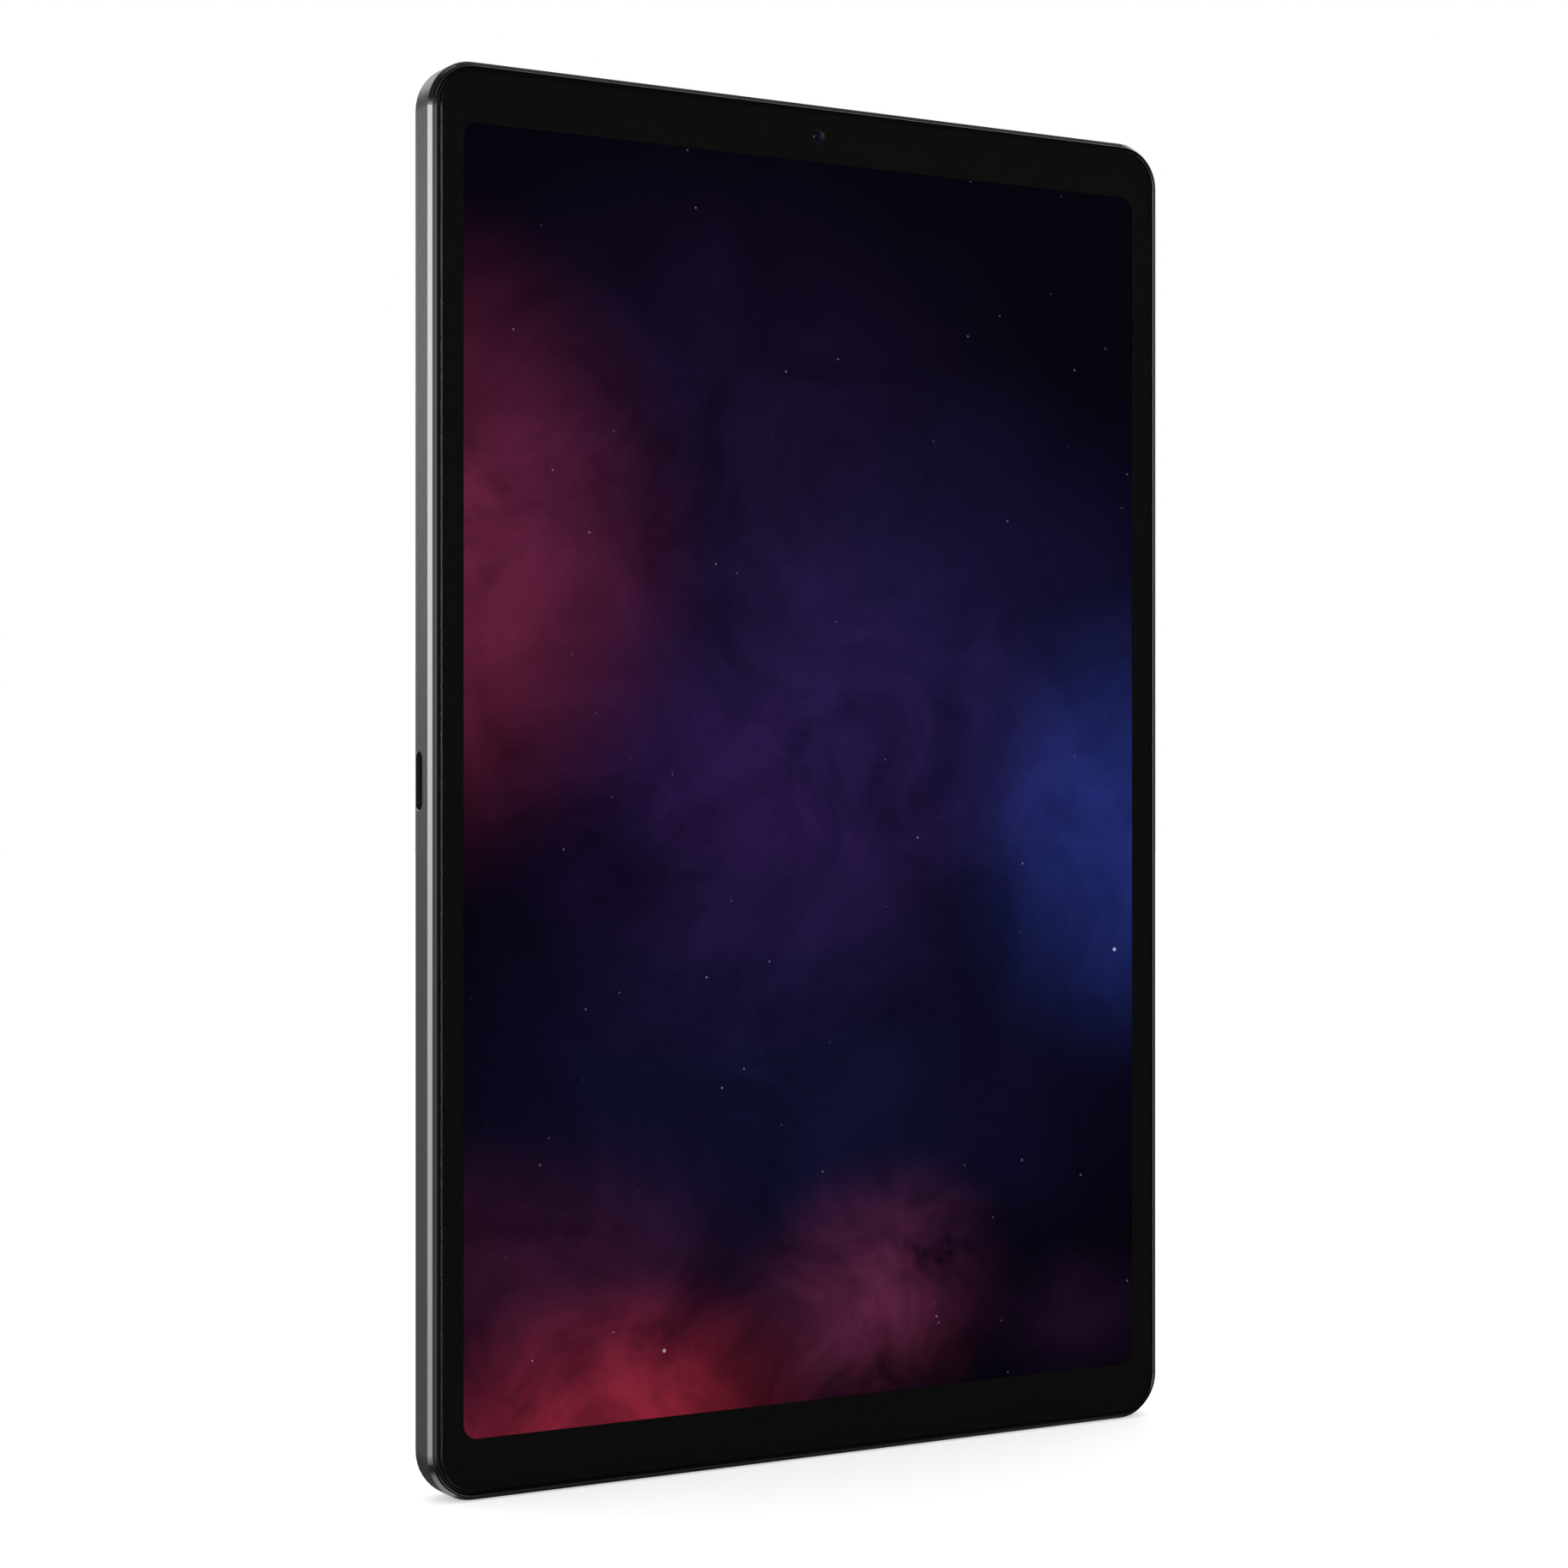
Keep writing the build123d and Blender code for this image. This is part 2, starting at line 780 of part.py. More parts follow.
def link_flex():
    """Joins the lower board to the main board across the front of the battery."""
    over = (midframe_back + battery_front) / 2
    low_land = small_board_front - plug_height - flex_thickness / 2
    high_land = board_front - plug_height - flex_thickness / 2
    x, z, width, high = connector_places()[2]
    battery_top = body_height - battery_top_offset
    points = [(low_land, link_plug[0] - 1.0), (low_land, lower_board_high), (over, battery_low - 4.0),
              (over, battery_top + 1.0), (high_land, board_low + 1.5), (high_land, z + 1.0)]
    return ribbon(points, 0.0, link_plug[1])


# ---------------- ports ----------------

def port_shell(bar):
    """Drawn steel shell of a port, open towards the wall."""
    outer, inner = wall_thickness + fit_gap, wall_thickness + port_shell_length
    shell = bar(port_slot_length + 2 * port_sheet, port_slot_height + 2 * port_sheet, outer, inner)
    return shell - bar(port_slot_length, port_slot_height, outer, inner - port_sheet)


def side_port_bar(length, height, outer, inner, taper=0):
    """Round-ended bar on the axis of the port half way up the left side."""
    return side_bar(-1, body_height / 2, port_depth, length, height, outer, inner, taper)


def lower_port_bar(length, height, outer, inner, taper=0):
    """Round-ended bar on the axis of the port in the bottom edge."""
    return end_bar(0, 0, port_depth, length, height, outer, inner, taper)


def port_tongue(bar):
    """Insulating tongue with its root block, standing in the shell."""
    back = wall_thickness + port_shell_length - port_sheet
    root = bar(port_slot_length - 2 * fit_gap, port_slot_height - 2 * fit_gap, back - tongue_root, back)
    return root + bar(port_tongue_width, port_tongue_thickness,
                      back - tongue_root - port_tongue_length, back)


def side_port_board():
    low = wall_thickness + inner_rounding
    high = battery_left_inset - room_gap
    return plate(-half_width + (low + high) / 2, body_height / 2, high - low,
                 port_slot_length + port_board_margin,
                 small_board_front, cavity_floor)


def side_port_flex():
    """Carries the side port up to its plug at the left end of the main board."""
    front = small_board_front - flex_thickness / 2
    land = board_front - plug_height - flex_thickness / 2
    x, z, width, height = connector_places()[0]
    start = body_height / 2 + port_slot_length / 2 + 1.0
    edge = board_low - port_flex_drop
    return ribbon([(front, start), (front, edge - port_flex_drop), (land, edge), (land, z)], x, 3.0)


# ---------------- sound, touch and sensors ----------------

def speaker(end, length):
    """Sealed speaker box whose mouth faces the sound holes."""
    near = wall_thickness + mesh_thickness + 2 * seat_gap
    middle = near + length / 2
    z = middle if end == 0 else body_height - middle
    box = plate(speaker_centre, z, speaker_width, length, speaker_front, speaker_back, speaker_corner)
    row = grille_count * grille_pitch
    mouth = end_bar(speaker_centre, end, port_depth, row, 2 * grille_radius, near, near + speaker_mouth)
    return box - mouth


def speaker_meshes():
    """Woven dust screens glued over the sound holes, inside the wall."""
    near = wall_thickness + fit_gap
    length = grille_count * grille_pitch + 1.0
    height = 2 * grille_radius + mesh_margin
    return [end_bar(speaker_centre, end, port_depth, length, height, near, near + mesh_thickness)
            for end in (0, 1)]


def microphones():
    """Microphone capsules behind their sound holes in both short edges."""
    capsules = []
    for z in (wall_thickness + fit_gap + microphone_inset,
              body_height - wall_thickness - fit_gap - microphone_inset):
        capsules.append(plate(microphone_x, z, microphone_width, 3.0,
                              port_depth - microphone_half_depth, port_depth + microphone_half_depth))
    return capsules


def haptic_box(end_grow, side_grow):
    """Block on the haptic motor's centre, grown or shrunk at its ends and at its sides."""
    half = haptic_height / 2 + side_grow
    return plate(haptic_x, haptic_z, haptic_length + 2 * end_grow, haptic_width + 2 * side_grow,
                 haptic_depth - half, haptic_depth + half)


def haptic_case():
    """Pressed case of the haptic motor."""
    return haptic_box(0, 0) - haptic_box(-haptic_sheet, -haptic_sheet)


def haptic_mass():
    """Heavy slug that shuttles lengthwise in its case to make the body buzz."""
    return haptic_box(-haptic_sheet - haptic_travel - 2 * seat_gap, -haptic_sheet - seat_gap)


def light_sensor():
    return plate(light_sensor_x, front_camera_z, light_sensor_width, light_sensor_height, print_back,
                 midframe_back)


# ---------------- cameras ----------------

def front_camera():
    """Selfie camera: a narrow barrel in front of a square module."""
    barrel = disc(0, front_camera_z, front_lens_radius, print_back, midframe_front)
    return barrel + plate(0, front_camera_z, front_module, front_module, midframe_front, front_module_back)


def island_shape(grow, front, back):
    """The camera island's round-ended outline, grown or shrunk evenly."""
    shape = SlotOverall(island_length + 2 * grow, island_width + 2 * grow)
    return layer(Pos(island_x, camera_z) * shape, front, back)


def camera_island():
    """Raised metal cover over the rear cameras, hollow behind, with a bore for each window."""
    island = island_shape(0, body_thickness - island_sink, island_top)
    island = fillet(island.edges().group_by(Axis.Y)[-1], island_rounding)
    island -= island_shape(-island_wall, body_thickness - island_sink, island_top - island_plate)
    for x, radius in ((main_lens_x, main_glass_radius), (macro_lens_x, macro_glass_radius)):
        island -= disc(x, camera_z, radius + lens_ring_wall + fit_gap, body_thickness, island_top)
    return island - disc(flash_x, camera_z, flash_radius + fit_gap, body_thickness, island_top)


def lens_ring(x, radius):
    """Turned trim ring with a step that its window drops into."""
    ring = disc(x, camera_z, radius + lens_ring_wall, island_top - island_plate, lens_ring_top)
    ring = chamfer(ring.edges().group_by(Axis.Y)[-1], lens_ring_rise / 2)
    ring -= disc(x, camera_z, radius + fit_gap, window_back, lens_ring_top)
    return ring - disc(x, camera_z, radius - lens_ring_seat, island_top - island_plate, lens_ring_top)


def lens_glass(x, radius):
    """Window glass, set just under the top of its ring."""
    return disc(x, camera_z, radius, window_back, window_front)


def flash_lens():
    return disc(flash_x, camera_z, flash_radius, island_top - island_plate, island_top - flash_sink)


def flash_lamp():
    """Lamp of the flash, on a small strap across the camera opening."""
    lamp = plate(flash_x, camera_z, flash_lamp_size, flash_lamp_size, cavity_floor,
                 island_top - island_plate)
    return lamp + camera_seat(flash_x, 3.0)


def camera_seat(x, width):
    """Cross strap that bears on the inside of the back, above and below the camera opening."""
    return plate(x, camera_z, width, island_width - 1.0, cavity_floor - camera_seat_depth, cavity_floor)


def main_camera_base():
    """Sensor board and square focus-motor housing, bored for the sliding lens barrel."""
    front = midframe_back + module_seat
    board = camera_module + 4 * module_seat
    base = plate(main_lens_x, camera_z, board, board, front, front + camera_board_thickness)
    base += plate(main_lens_x, camera_z, camera_module, camera_module, front + camera_board_thickness,
                  camera_top)
    base += camera_seat(main_lens_x, camera_module - 2.0)
    bore_floor = camera_top - focus_length - module_seat
    return base - disc(main_lens_x, camera_z, focus_radius + seat_gap, bore_floor, camera_top)


def focus_barrel():
    """Lens barrel that the focus motor moves towards the window, dished round its front lens."""
    barrel = disc(main_lens_x, camera_z, focus_radius, camera_top - focus_length, camera_top)
    return barrel - disc(main_lens_x, camera_z, focus_radius - focus_barrel_wall, camera_top - 0.5,
                         camera_top)


def macro_camera():
    """Small fixed-focus close-up camera."""
    base = plate(macro_lens_x, camera_z, macro_module, macro_module, midframe_back + macro_margin,
                 body_thickness - macro_margin)
    base += camera_seat(macro_lens_x, macro_seat_width)
    return base + disc(macro_lens_x, camera_z, macro_lens_radius_inside, body_thickness - macro_margin,
                       body_thickness + macro_rise)


# ---------------- keys ----------------

def side_key(z, length, stems):
    """Round-ended key with a flange that keeps it in the wall and stems that press its switches."""
    head = side_bar(1, z, key_depth, length, key_height, -key_proud, flange_outer)
    head = fillet(head.edges().group_by(Axis.X)[-1], key_proud * 0.8)
    key = head + side_bar(1, z, key_depth, length + 2 * key_flange, key_height + 2 * key_flange,
                          flange_outer, flange_inner)
    for stem in stems:
        key += side_bar(1, stem, key_depth, stem_height, stem_depth, flange_inner, stem_end)
    return key


def volume_key():
    """Rocking key: the round rib across its middle bears on the stiffener behind it."""
    key = side_key(volume_key_z, volume_key_length, volume_stems())
    rib = Rot(90, 0, 0) * Cylinder(rocking_rib_radius, key_height)
    return key + Pos(half_width - flange_inner, glass_y + key_depth, volume_key_z) * rib


def volume_stems():
    reach = volume_key_length / 2 - volume_stem_inset
    return [volume_key_z - reach, volume_key_z + reach]


def key_switches():
    """Snap domes: one for the power key and two for the volume key."""
    places = [power_key_z] + volume_stems()
    return [side_bar(1, z, key_depth, switch_size + switch_margin, switch_size, switch_outer, switch_inner)
            for z in places]


def key_flex():
    """Flexible circuit on its steel stiffener, long enough for all three switches."""
    low = volume_key_z - volume_key_length / 2
    high = power_key_z + power_key_length / 2
    x = half_width - (switch_inner + bracket_inner) / 2
    flex_width = bracket_inner - switch_inner
    strip = Pos(x, glass_y + key_depth, (low + high) / 2) * Box(flex_width, key_height, high - low)
    pad_outer = flange_inner + rocking_rib_radius + fit_gap
    pad = Box(switch_inner - pad_outer, key_height, 2 * key_height / 3)
    return strip + Pos(half_width - (pad_outer + switch_inner) / 2, glass_y + key_depth, volume_key_z) * pad


NODES = {
    "rear_housing": rear_housing,
    "antenna_bands": antenna_bands,
    "front_glass": front_glass,
    "border_print": border_print,
    "optical_adhesive": optical_adhesive,
    "lcd_cell": lcd_cell,
    "display_driver_chip": driver_chip,
    "diffuser_films": diffuser_films,
    "light_guide": light_guide,
    "backlight_led_bar": led_bar,
    "backlight_tray": backlight_tray,
    "display_flex": display_flex,
    "glass_adhesive": glass_adhesive,
    "display_ring": display_ring,
    "frame_adhesive": frame_adhesive,
    "midframe": midframe,
    "midframe_screws": midframe_screws,
    "vapour_chamber": vapour_chamber,
    "thermal_pad": thermal_pad,
    "battery_cell_left": lambda: battery_cell(-1),
    "battery_cell_right": lambda: battery_cell(1),
    "battery_tape": battery_tape,
    "battery_board": battery_board,
    "main_board": main_board,
    "shield_cans": shield_cans,
    "processor": processor,
    "memory_chips": memory_chips,
    "power_chips": power_chips,
    "board_connectors": board_connectors,
    "board_screws": board_screws,
    "lower_board": lower_board,
    "link_flex": link_flex,
    "side_port_shell": lambda: port_shell(side_port_bar),
    "side_port_tongue": lambda: port_tongue(side_port_bar),
    "side_port_board": side_port_board,
    "side_port_flex": side_port_flex,
    "lower_port_shell": lambda: port_shell(lower_port_bar),
    "lower_port_tongue": lambda: port_tongue(lower_port_bar),
    "upper_speaker": lambda: speaker(1, upper_speaker_length),
    "lower_speaker": lambda: speaker(0, lower_speaker_length),
    "speaker_meshes": speaker_meshes,
    "microphones": microphones,
    "haptic_motor_case": haptic_case,
    "haptic_motor_mass": haptic_mass,
    "light_sensor": light_sensor,
    "front_camera": front_camera,
    "camera_island": camera_island,
    "main_lens_ring": lambda: lens_ring(main_lens_x, main_glass_radius),
    "main_lens_glass": lambda: lens_glass(main_lens_x, main_glass_radius),
    "macro_lens_ring": lambda: lens_ring(macro_lens_x, macro_glass_radius),
    "macro_lens_glass": lambda: lens_glass(macro_lens_x, macro_glass_radius),
    "flash_lens": flash_lens,
    "flash_lamp": flash_lamp,
    "main_camera_base": main_camera_base,
    "main_camera_barrel": focus_barrel,
    "macro_camera": macro_camera,
    "power_key": lambda: side_key(power_key_z, power_key_length, [power_key_z]),
    "volume_key": volume_key,
    "key_switches": key_switches,
    "key_flex": key_flex,
}


def write_parts():
    os.makedirs("parts", exist_ok=True)
    for name, make in NODES.items():
        made = make()
        pieces = made if isinstance(made, list) else made.solids()
        shape = pieces[0] if len(pieces) == 1 else Compound(children=list(pieces))
        export_step(shape, f"parts/{name}.step")
        print(name, len(pieces))


write_parts()
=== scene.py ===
import json
import math
from collections import namedtuple

import bmesh
import bpy
from bpy.props import FloatProperty, FloatVectorProperty, PointerProperty
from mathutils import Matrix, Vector


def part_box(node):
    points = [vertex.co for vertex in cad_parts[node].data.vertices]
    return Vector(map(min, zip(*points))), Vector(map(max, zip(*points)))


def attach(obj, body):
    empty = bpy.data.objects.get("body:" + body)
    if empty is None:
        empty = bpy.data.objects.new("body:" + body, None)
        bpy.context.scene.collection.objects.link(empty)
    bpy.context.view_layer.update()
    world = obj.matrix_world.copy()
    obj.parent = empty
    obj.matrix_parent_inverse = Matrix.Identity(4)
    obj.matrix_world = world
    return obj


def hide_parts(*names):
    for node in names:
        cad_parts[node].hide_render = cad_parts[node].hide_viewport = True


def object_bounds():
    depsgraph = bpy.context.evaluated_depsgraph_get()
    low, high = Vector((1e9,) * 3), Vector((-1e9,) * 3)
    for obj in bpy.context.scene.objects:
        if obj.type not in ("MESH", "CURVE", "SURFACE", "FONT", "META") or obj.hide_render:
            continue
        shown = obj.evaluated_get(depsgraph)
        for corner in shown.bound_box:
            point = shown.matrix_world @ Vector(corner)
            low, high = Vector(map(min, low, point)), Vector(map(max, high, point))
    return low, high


bl_info = {
    "name": "Tablet Computer Finishes",
    "version": (1, 0, 0),
    "blender": (4, 5, 0),
    "location": "3D View > Sidebar > Tablet",
    "description": "Surfaces, lit picture, small fittings and studio for a tablet computer",
    "category": "Object",
}

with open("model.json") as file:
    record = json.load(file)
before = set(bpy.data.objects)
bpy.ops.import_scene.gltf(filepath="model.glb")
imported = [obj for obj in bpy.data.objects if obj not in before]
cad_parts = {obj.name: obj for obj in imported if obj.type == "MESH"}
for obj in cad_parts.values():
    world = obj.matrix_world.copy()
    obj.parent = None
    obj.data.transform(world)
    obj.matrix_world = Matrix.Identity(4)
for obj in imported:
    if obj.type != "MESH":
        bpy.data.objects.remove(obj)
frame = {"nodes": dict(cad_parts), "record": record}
CAD_LOW, CAD_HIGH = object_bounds()
MM = 0.001
GLASS_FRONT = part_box("front_glass")[0].y
BODY_LOW, BODY_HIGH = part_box("rear_housing")
MIDDLE_Z = (BODY_LOW.z + BODY_HIGH.z) / 2
FLAT = 1000.0  # a scale that takes an axis out of a falloff
HALF_WAVE = math.pi / 20  # half the length in which the wave texture repeats at scale 1
HAIR = 0.01 * MM  # gap that keeps two faces from lying in one place
HANDLED, WIPED, FLOWED = 18 * MM, 25 * MM, 12 * MM  # size of marks from hands, cloth and curing


def srgb(code):
    """Linear red, green and blue of an sRGB hex colour."""
    parts = [int(code[i:i + 2], 16) / 255 for i in (1, 3, 5)]
    return tuple(p / 12.92 if p <= 0.04045 else ((p + 0.055) / 1.055) ** 2.4 for p in parts)


def add(tree, kind, inputs=None, **settings):
    """Adds a node with its settings, sets or links its inputs, and returns it."""
    node = tree.nodes.new(kind)
    for name, value in settings.items():
        setattr(node, name, value)
    for key, value in (inputs or {}).items():
        socket = node.inputs[key] if isinstance(key, int) else next(
            s for s in node.inputs if s.enabled and s.name == key)
        if isinstance(value, bpy.types.Node):
            value = next(s for s in value.outputs if s.enabled)
        if isinstance(value, bpy.types.NodeSocket):
            tree.links.new(value, socket)
        elif socket.type == "RGBA" and len(value) == 3:
            socket.default_value = (*value, 1.0)
        else:
            socket.default_value = value
    return node


def new_material(name):
    """An empty node material: the material, its tree and its output node."""
    made = bpy.data.materials.new(name)
    made.use_nodes = True
    made.node_tree.nodes.clear()
    return made, made.node_tree, made.node_tree.nodes.new("ShaderNodeOutputMaterial")


def shaded(colour, amount):
    """A colour made darker (under 1) or lighter (over 1)."""
    return tuple(min(1.0, part * amount) for part in colour)


# ---------------- settings ----------------

def colour_setting(name, text, code):
    return FloatVectorProperty(name=name, description=text, subtype="COLOR", size=3,
                               min=0.0, max=1.0, default=srgb(code))


class TabletFinishSettings(bpy.types.PropertyGroup):
    """Colours of what shows on the outside."""
    housing: colour_setting("Housing", "Dyed and sealed aluminium of the body", "#A3A4A8")
    chamfer: colour_setting("Edge", "Diamond-cut edge in front of the side wall", "#909092")
    ink: colour_setting("Border", "Black print behind the cover glass", "#0E0E0E")
    ring: colour_setting("Ring", "Glossy ring round the cover glass", "#060606")


class TabletPictureSettings(bpy.types.PropertyGroup):
    """Colours and brightness of the picture on the display."""
    space: colour_setting("Space", "Darkest part of the picture", "#04020A")
    ember: colour_setting("Ember", "Red cloud at the left edge", "#5E1C34")
    azure: colour_setting("Azure", "Blue cloud at the right edge", "#1C2868")
    glow: FloatProperty(name="Brightness", description="How bright the display is lit",
                        default=1.0, min=0.0, max=4.0, subtype="FACTOR")


class TabletStageSettings(bpy.types.PropertyGroup):
    """Camera and studio."""
    yaw: FloatProperty(name="Turn", description="How far right of straight on the camera looks",
                       default=math.radians(29.95), subtype="ANGLE")
    side: FloatProperty(name="Side offset", description="How far left of the middle the camera stands",
                        default=0.24185, unit="LENGTH")
    distance: FloatProperty(name="Distance", description="From the glass back to the camera",
                            default=0.40833, unit="LENGTH")
    lens: FloatProperty(name="Lens", description="Focal length on a 36 mm wide sensor",
                        default=70.96, min=20.0, max=200.0, unit="CAMERA")


# ---------------- finishes made from one recipe ----------------

# name; dark and light colour of the grain; grain size and relief in mm; lowest and highest
# roughness; metallic; index of refraction; stretch of the grain along X, Y and Z
Finish = namedtuple("Finish", "name dark light grain relief rough_low rough_high metallic ior stretch",
                    defaults=(0.0, 1.5, (1.0, 1.0, 1.0)))

INNER_FINISHES = {
    # Moulded nylon antenna break: matt and a shade warmer than the metal beside it.
    "antenna_plastic": ("moulded_nylon_matt", "#3A3B3D", "#444547", 0.25, 0.004, 0.45, 0.6, 0.0, 1.53),
    # Cured epoxy over a chip: dull charcoal with a sandy surface.
    "chip_epoxy": ("moulded_epoxy_chip", "#141416", "#202023", 0.12, 0.004, 0.5, 0.7, 0.0, 1.56),
    # Stacked polyester diffuser: milky white with a soft sheen.
    "white_film": ("frosted_polyester_film", "#DDE1E4", "#F1F3F4", 0.3, 0.002, 0.35, 0.5, 0.0, 1.57),
    # Acrylic light guide, roughened by laser dots.
    "clear_acrylic": ("laser_dotted_acrylic", "#C6CFD3", "#EEF3F5", 0.4, 0.004, 0.1, 0.25, 0.0, 1.49),
    # Lamps potted in phosphor silicone: pale yellow, slightly cloudy.
    "lamp_strip": ("potted_lamp_silicone", "#D9CF92", "#F4EFD2", 1.2, 0.01, 0.3, 0.45, 0.0, 1.41),
    # Rolled and pressed stainless sheet: faint lines along the roll.
    "pressed_steel": ("pressed_steel_sheet", "#8E9194", "#AEB1B4", 0.12, 0.002, 0.25, 0.4, 1.0, 1.5,
                      (0.08, 1.0, 1.0)),
    # Polyimide flexible circuit: amber film over copper, with fine tracks along it.
    "amber_flex": ("polyimide_flex", "#8A4C12", "#B8701F", 0.35, 0.008, 0.3, 0.4, 0.0, 1.6,
                   (1.0, 1.0, 0.06)),
    # Foam tape: black, matt, with open cells.
    "black_tape": ("foam_tape_black", "#0B0B0C", "#151516", 0.15, 0.01, 0.75, 0.9, 0.0, 1.45),
    # Die-cast magnesium middle frame: light grey with a slightly cloudy skin.
    "cast_alloy": ("die_cast_magnesium", "#6F7275", "#85888B", 0.5, 0.006, 0.4, 0.55, 1.0),
    # Zinc-plated screws: cool and bright.
    "screw_steel": ("plated_screw_steel", "#9EA2A6", "#C2C6C9", 0.1, 0.002, 0.2, 0.35, 1.0),
    # Etched copper plate of the vapour chamber, slightly tarnished.
    "copper_plate": ("etched_copper", "#A85A3A", "#C9805B", 0.4, 0.003, 0.3, 0.45, 1.0),
    # Gap pad: soft grey silicone.
    "thermal_silicone": ("gap_pad_silicone", "#8C97A1", "#A3ADB5", 0.4, 0.01, 0.6, 0.75, 0.0, 1.43),
    # Aluminised pouch of a cell: dark film with soft creases.
    "battery_pouch": ("laminated_cell_pouch", "#1B1C1F", "#2B2C30", 6.0, 0.03, 0.35, 0.5),
    # Stretch-release adhesive strip: milky and elastic.
    "pull_tape": ("stretch_tape_white", "#C9CCCC", "#DDDFDF", 0.8, 0.004, 0.5, 0.6, 0.0, 1.48),
    # Nickel silver can over the chips: warm white metal with roll lines.
    "nickel_silver": ("pressed_nickel_silver", "#B1AEA4", "#CBC8BF", 0.15, 0.002, 0.28, 0.42, 1.0, 1.5,
                      (1.0, 1.0, 0.1)),
    # Liquid-crystal polymer of the board connectors: dark and slightly waxy.
    "connector_plastic": ("moulded_connector_polymer", "#1C1B1A", "#262523", 0.15, 0.003, 0.45, 0.6,
                          0.0, 1.6),
    # Deep-drawn stainless shell of a port: bright, with soft draw lines.
    "port_steel": ("drawn_stainless_shell", "#6E7073", "#8E9093", 0.1, 0.002, 0.25, 0.4, 1.0, 1.5,
                   (0.1, 1.0, 1.0)),
    # Glass-filled nylon tongue inside a port: black with a dull grain.
    "port_plastic": ("moulded_nylon_tongue", "#0C0C0D", "#151516", 0.1, 0.003, 0.4, 0.55, 0.0, 1.53),
    # Speaker box: moulded ABS with a fine spark texture.
    "speaker_plastic": ("moulded_abs_box", "#121214", "#1B1B1D", 0.2, 0.008, 0.5, 0.65, 0.0, 1.53),
    # Sintered tungsten slug of the haptic motor: grainy dark metal.
    "heavy_slug": ("sintered_tungsten", "#4B4D50", "#626467", 0.15, 0.004, 0.4, 0.5, 1.0),
    # Sensor package under dark resin: smooth, almost black.
    "sensor_plastic": ("tinted_sensor_resin", "#08080A", "#121217", 0.3, 0.002, 0.15, 0.25, 0.0, 1.55),
    # Camera housing: black polymer, dead matt so that it throws no light about.
    "camera_plastic": ("matt_camera_polymer", "#060607", "#0D0D0F", 0.12, 0.003, 0.55, 0.7, 0.0, 1.55),
    # Lens barrel, moulded black with fine rings.
    "barrel_plastic": ("moulded_lens_barrel", "#070708", "#111113", 0.2, 0.006, 0.35, 0.5, 0.0, 1.55,
                       (1.0, 6.0, 1.0)),
}


def recipe_from(row):
    """A recipe of the table, with its hex colours made linear."""
    recipe = Finish(*row)
    return recipe._replace(dark=srgb(recipe.dark), light=srgb(recipe.light))


def finish_material(recipe):
    """Grain, handling marks and relief from one recipe."""
    made, tree, out = new_material(recipe.name)
    place = add(tree, "ShaderNodeTexCoord").outputs["Object"]
    along = add(tree, "ShaderNodeMapping", {"Vector": place, "Scale": recipe.stretch})
    grain = add(tree, "ShaderNodeTexNoise",
                {"Vector": along, "Scale": 1 / (recipe.grain * MM), "Detail": 4.0, "Roughness": 0.6})
    handled = add(tree, "ShaderNodeTexNoise", {"Vector": place, "Scale": 1 / HANDLED, "Detail": 3.0})
    spread = add(tree, "ShaderNodeMapRange", {"Value": grain, "From Min": 0.3, "From Max": 0.7})
    colour = add(tree, "ShaderNodeMix", {"Factor": spread, "A": recipe.dark, "B": recipe.light},
                 data_type="RGBA")
    rough = add(tree, "ShaderNodeMapRange",
                {"Value": handled, "From Min": 0.2, "From Max": 0.8,
                 "To Min": recipe.rough_low, "To Max": recipe.rough_high})
    bump = add(tree, "ShaderNodeBump", {"Height": grain, "Distance": recipe.relief * MM})
    shader = add(tree, "ShaderNodeBsdfPrincipled",
                 {"Base Color": colour, "Roughness": rough, "Metallic": recipe.metallic,
                  "IOR": recipe.ior, "Normal": bump})
    tree.links.new(shader.outputs[0], out.inputs["Surface"])
    return made


def dress(node, *materials):
    """Gives a CAD node its finishes, the first of them on every face."""
    mesh = frame["nodes"][node].data
    mesh.materials.clear()
    for made in materials:
        mesh.materials.append(made)
    for face in mesh.polygons:
        face.material_index = 0
    return mesh


def draw_in(node):
    """Shrinks a clear node by a hair, so that light doesn't meet two faces in one place."""
    shrink = frame["nodes"][node].modifiers.new("hairline_gap", "DISPLACE")
    shrink.direction = "NORMAL"
    shrink.mid_level = 0.0
    shrink.strength = -HAIR


def nodes_in(slot):
    """The CAD nodes that the record gives one material slot."""
    return [row["node"] for row in frame["record"]["subparts"] if row["material_slot"] == slot]


# ---------------- body ----------------

CUT_REACH = 0.7 * MM  # how far behind the body's front the diamond cut reaches
CUT_SLOPE = -math.sqrt(0.5)  # forward part of the normal of a 45-degree edge
SLOPE_SPREAD = 0.15  # how far a normal may be off that slope
FACING_FRONT = -0.95  # forward part of the normal of a face that looks straight forward
ISLAND_SHADE, KEY_SHADE = 0.85, 0.95  # against the body's colour


def blasted_aluminium(name, colour):
    """Bead-blasted, dyed and sealed aluminium: satin, with a fine sparkling grain."""
    # A real blasted grain is about 0.08 mm; it is drawn at 0.3 mm so that it shows.
    return finish_material(Finish(name, shaded(colour, 0.86), shaded(colour, 1.12), grain=0.3,
                                  relief=0.007, rough_low=0.28, rough_high=0.31, metallic=1.0))


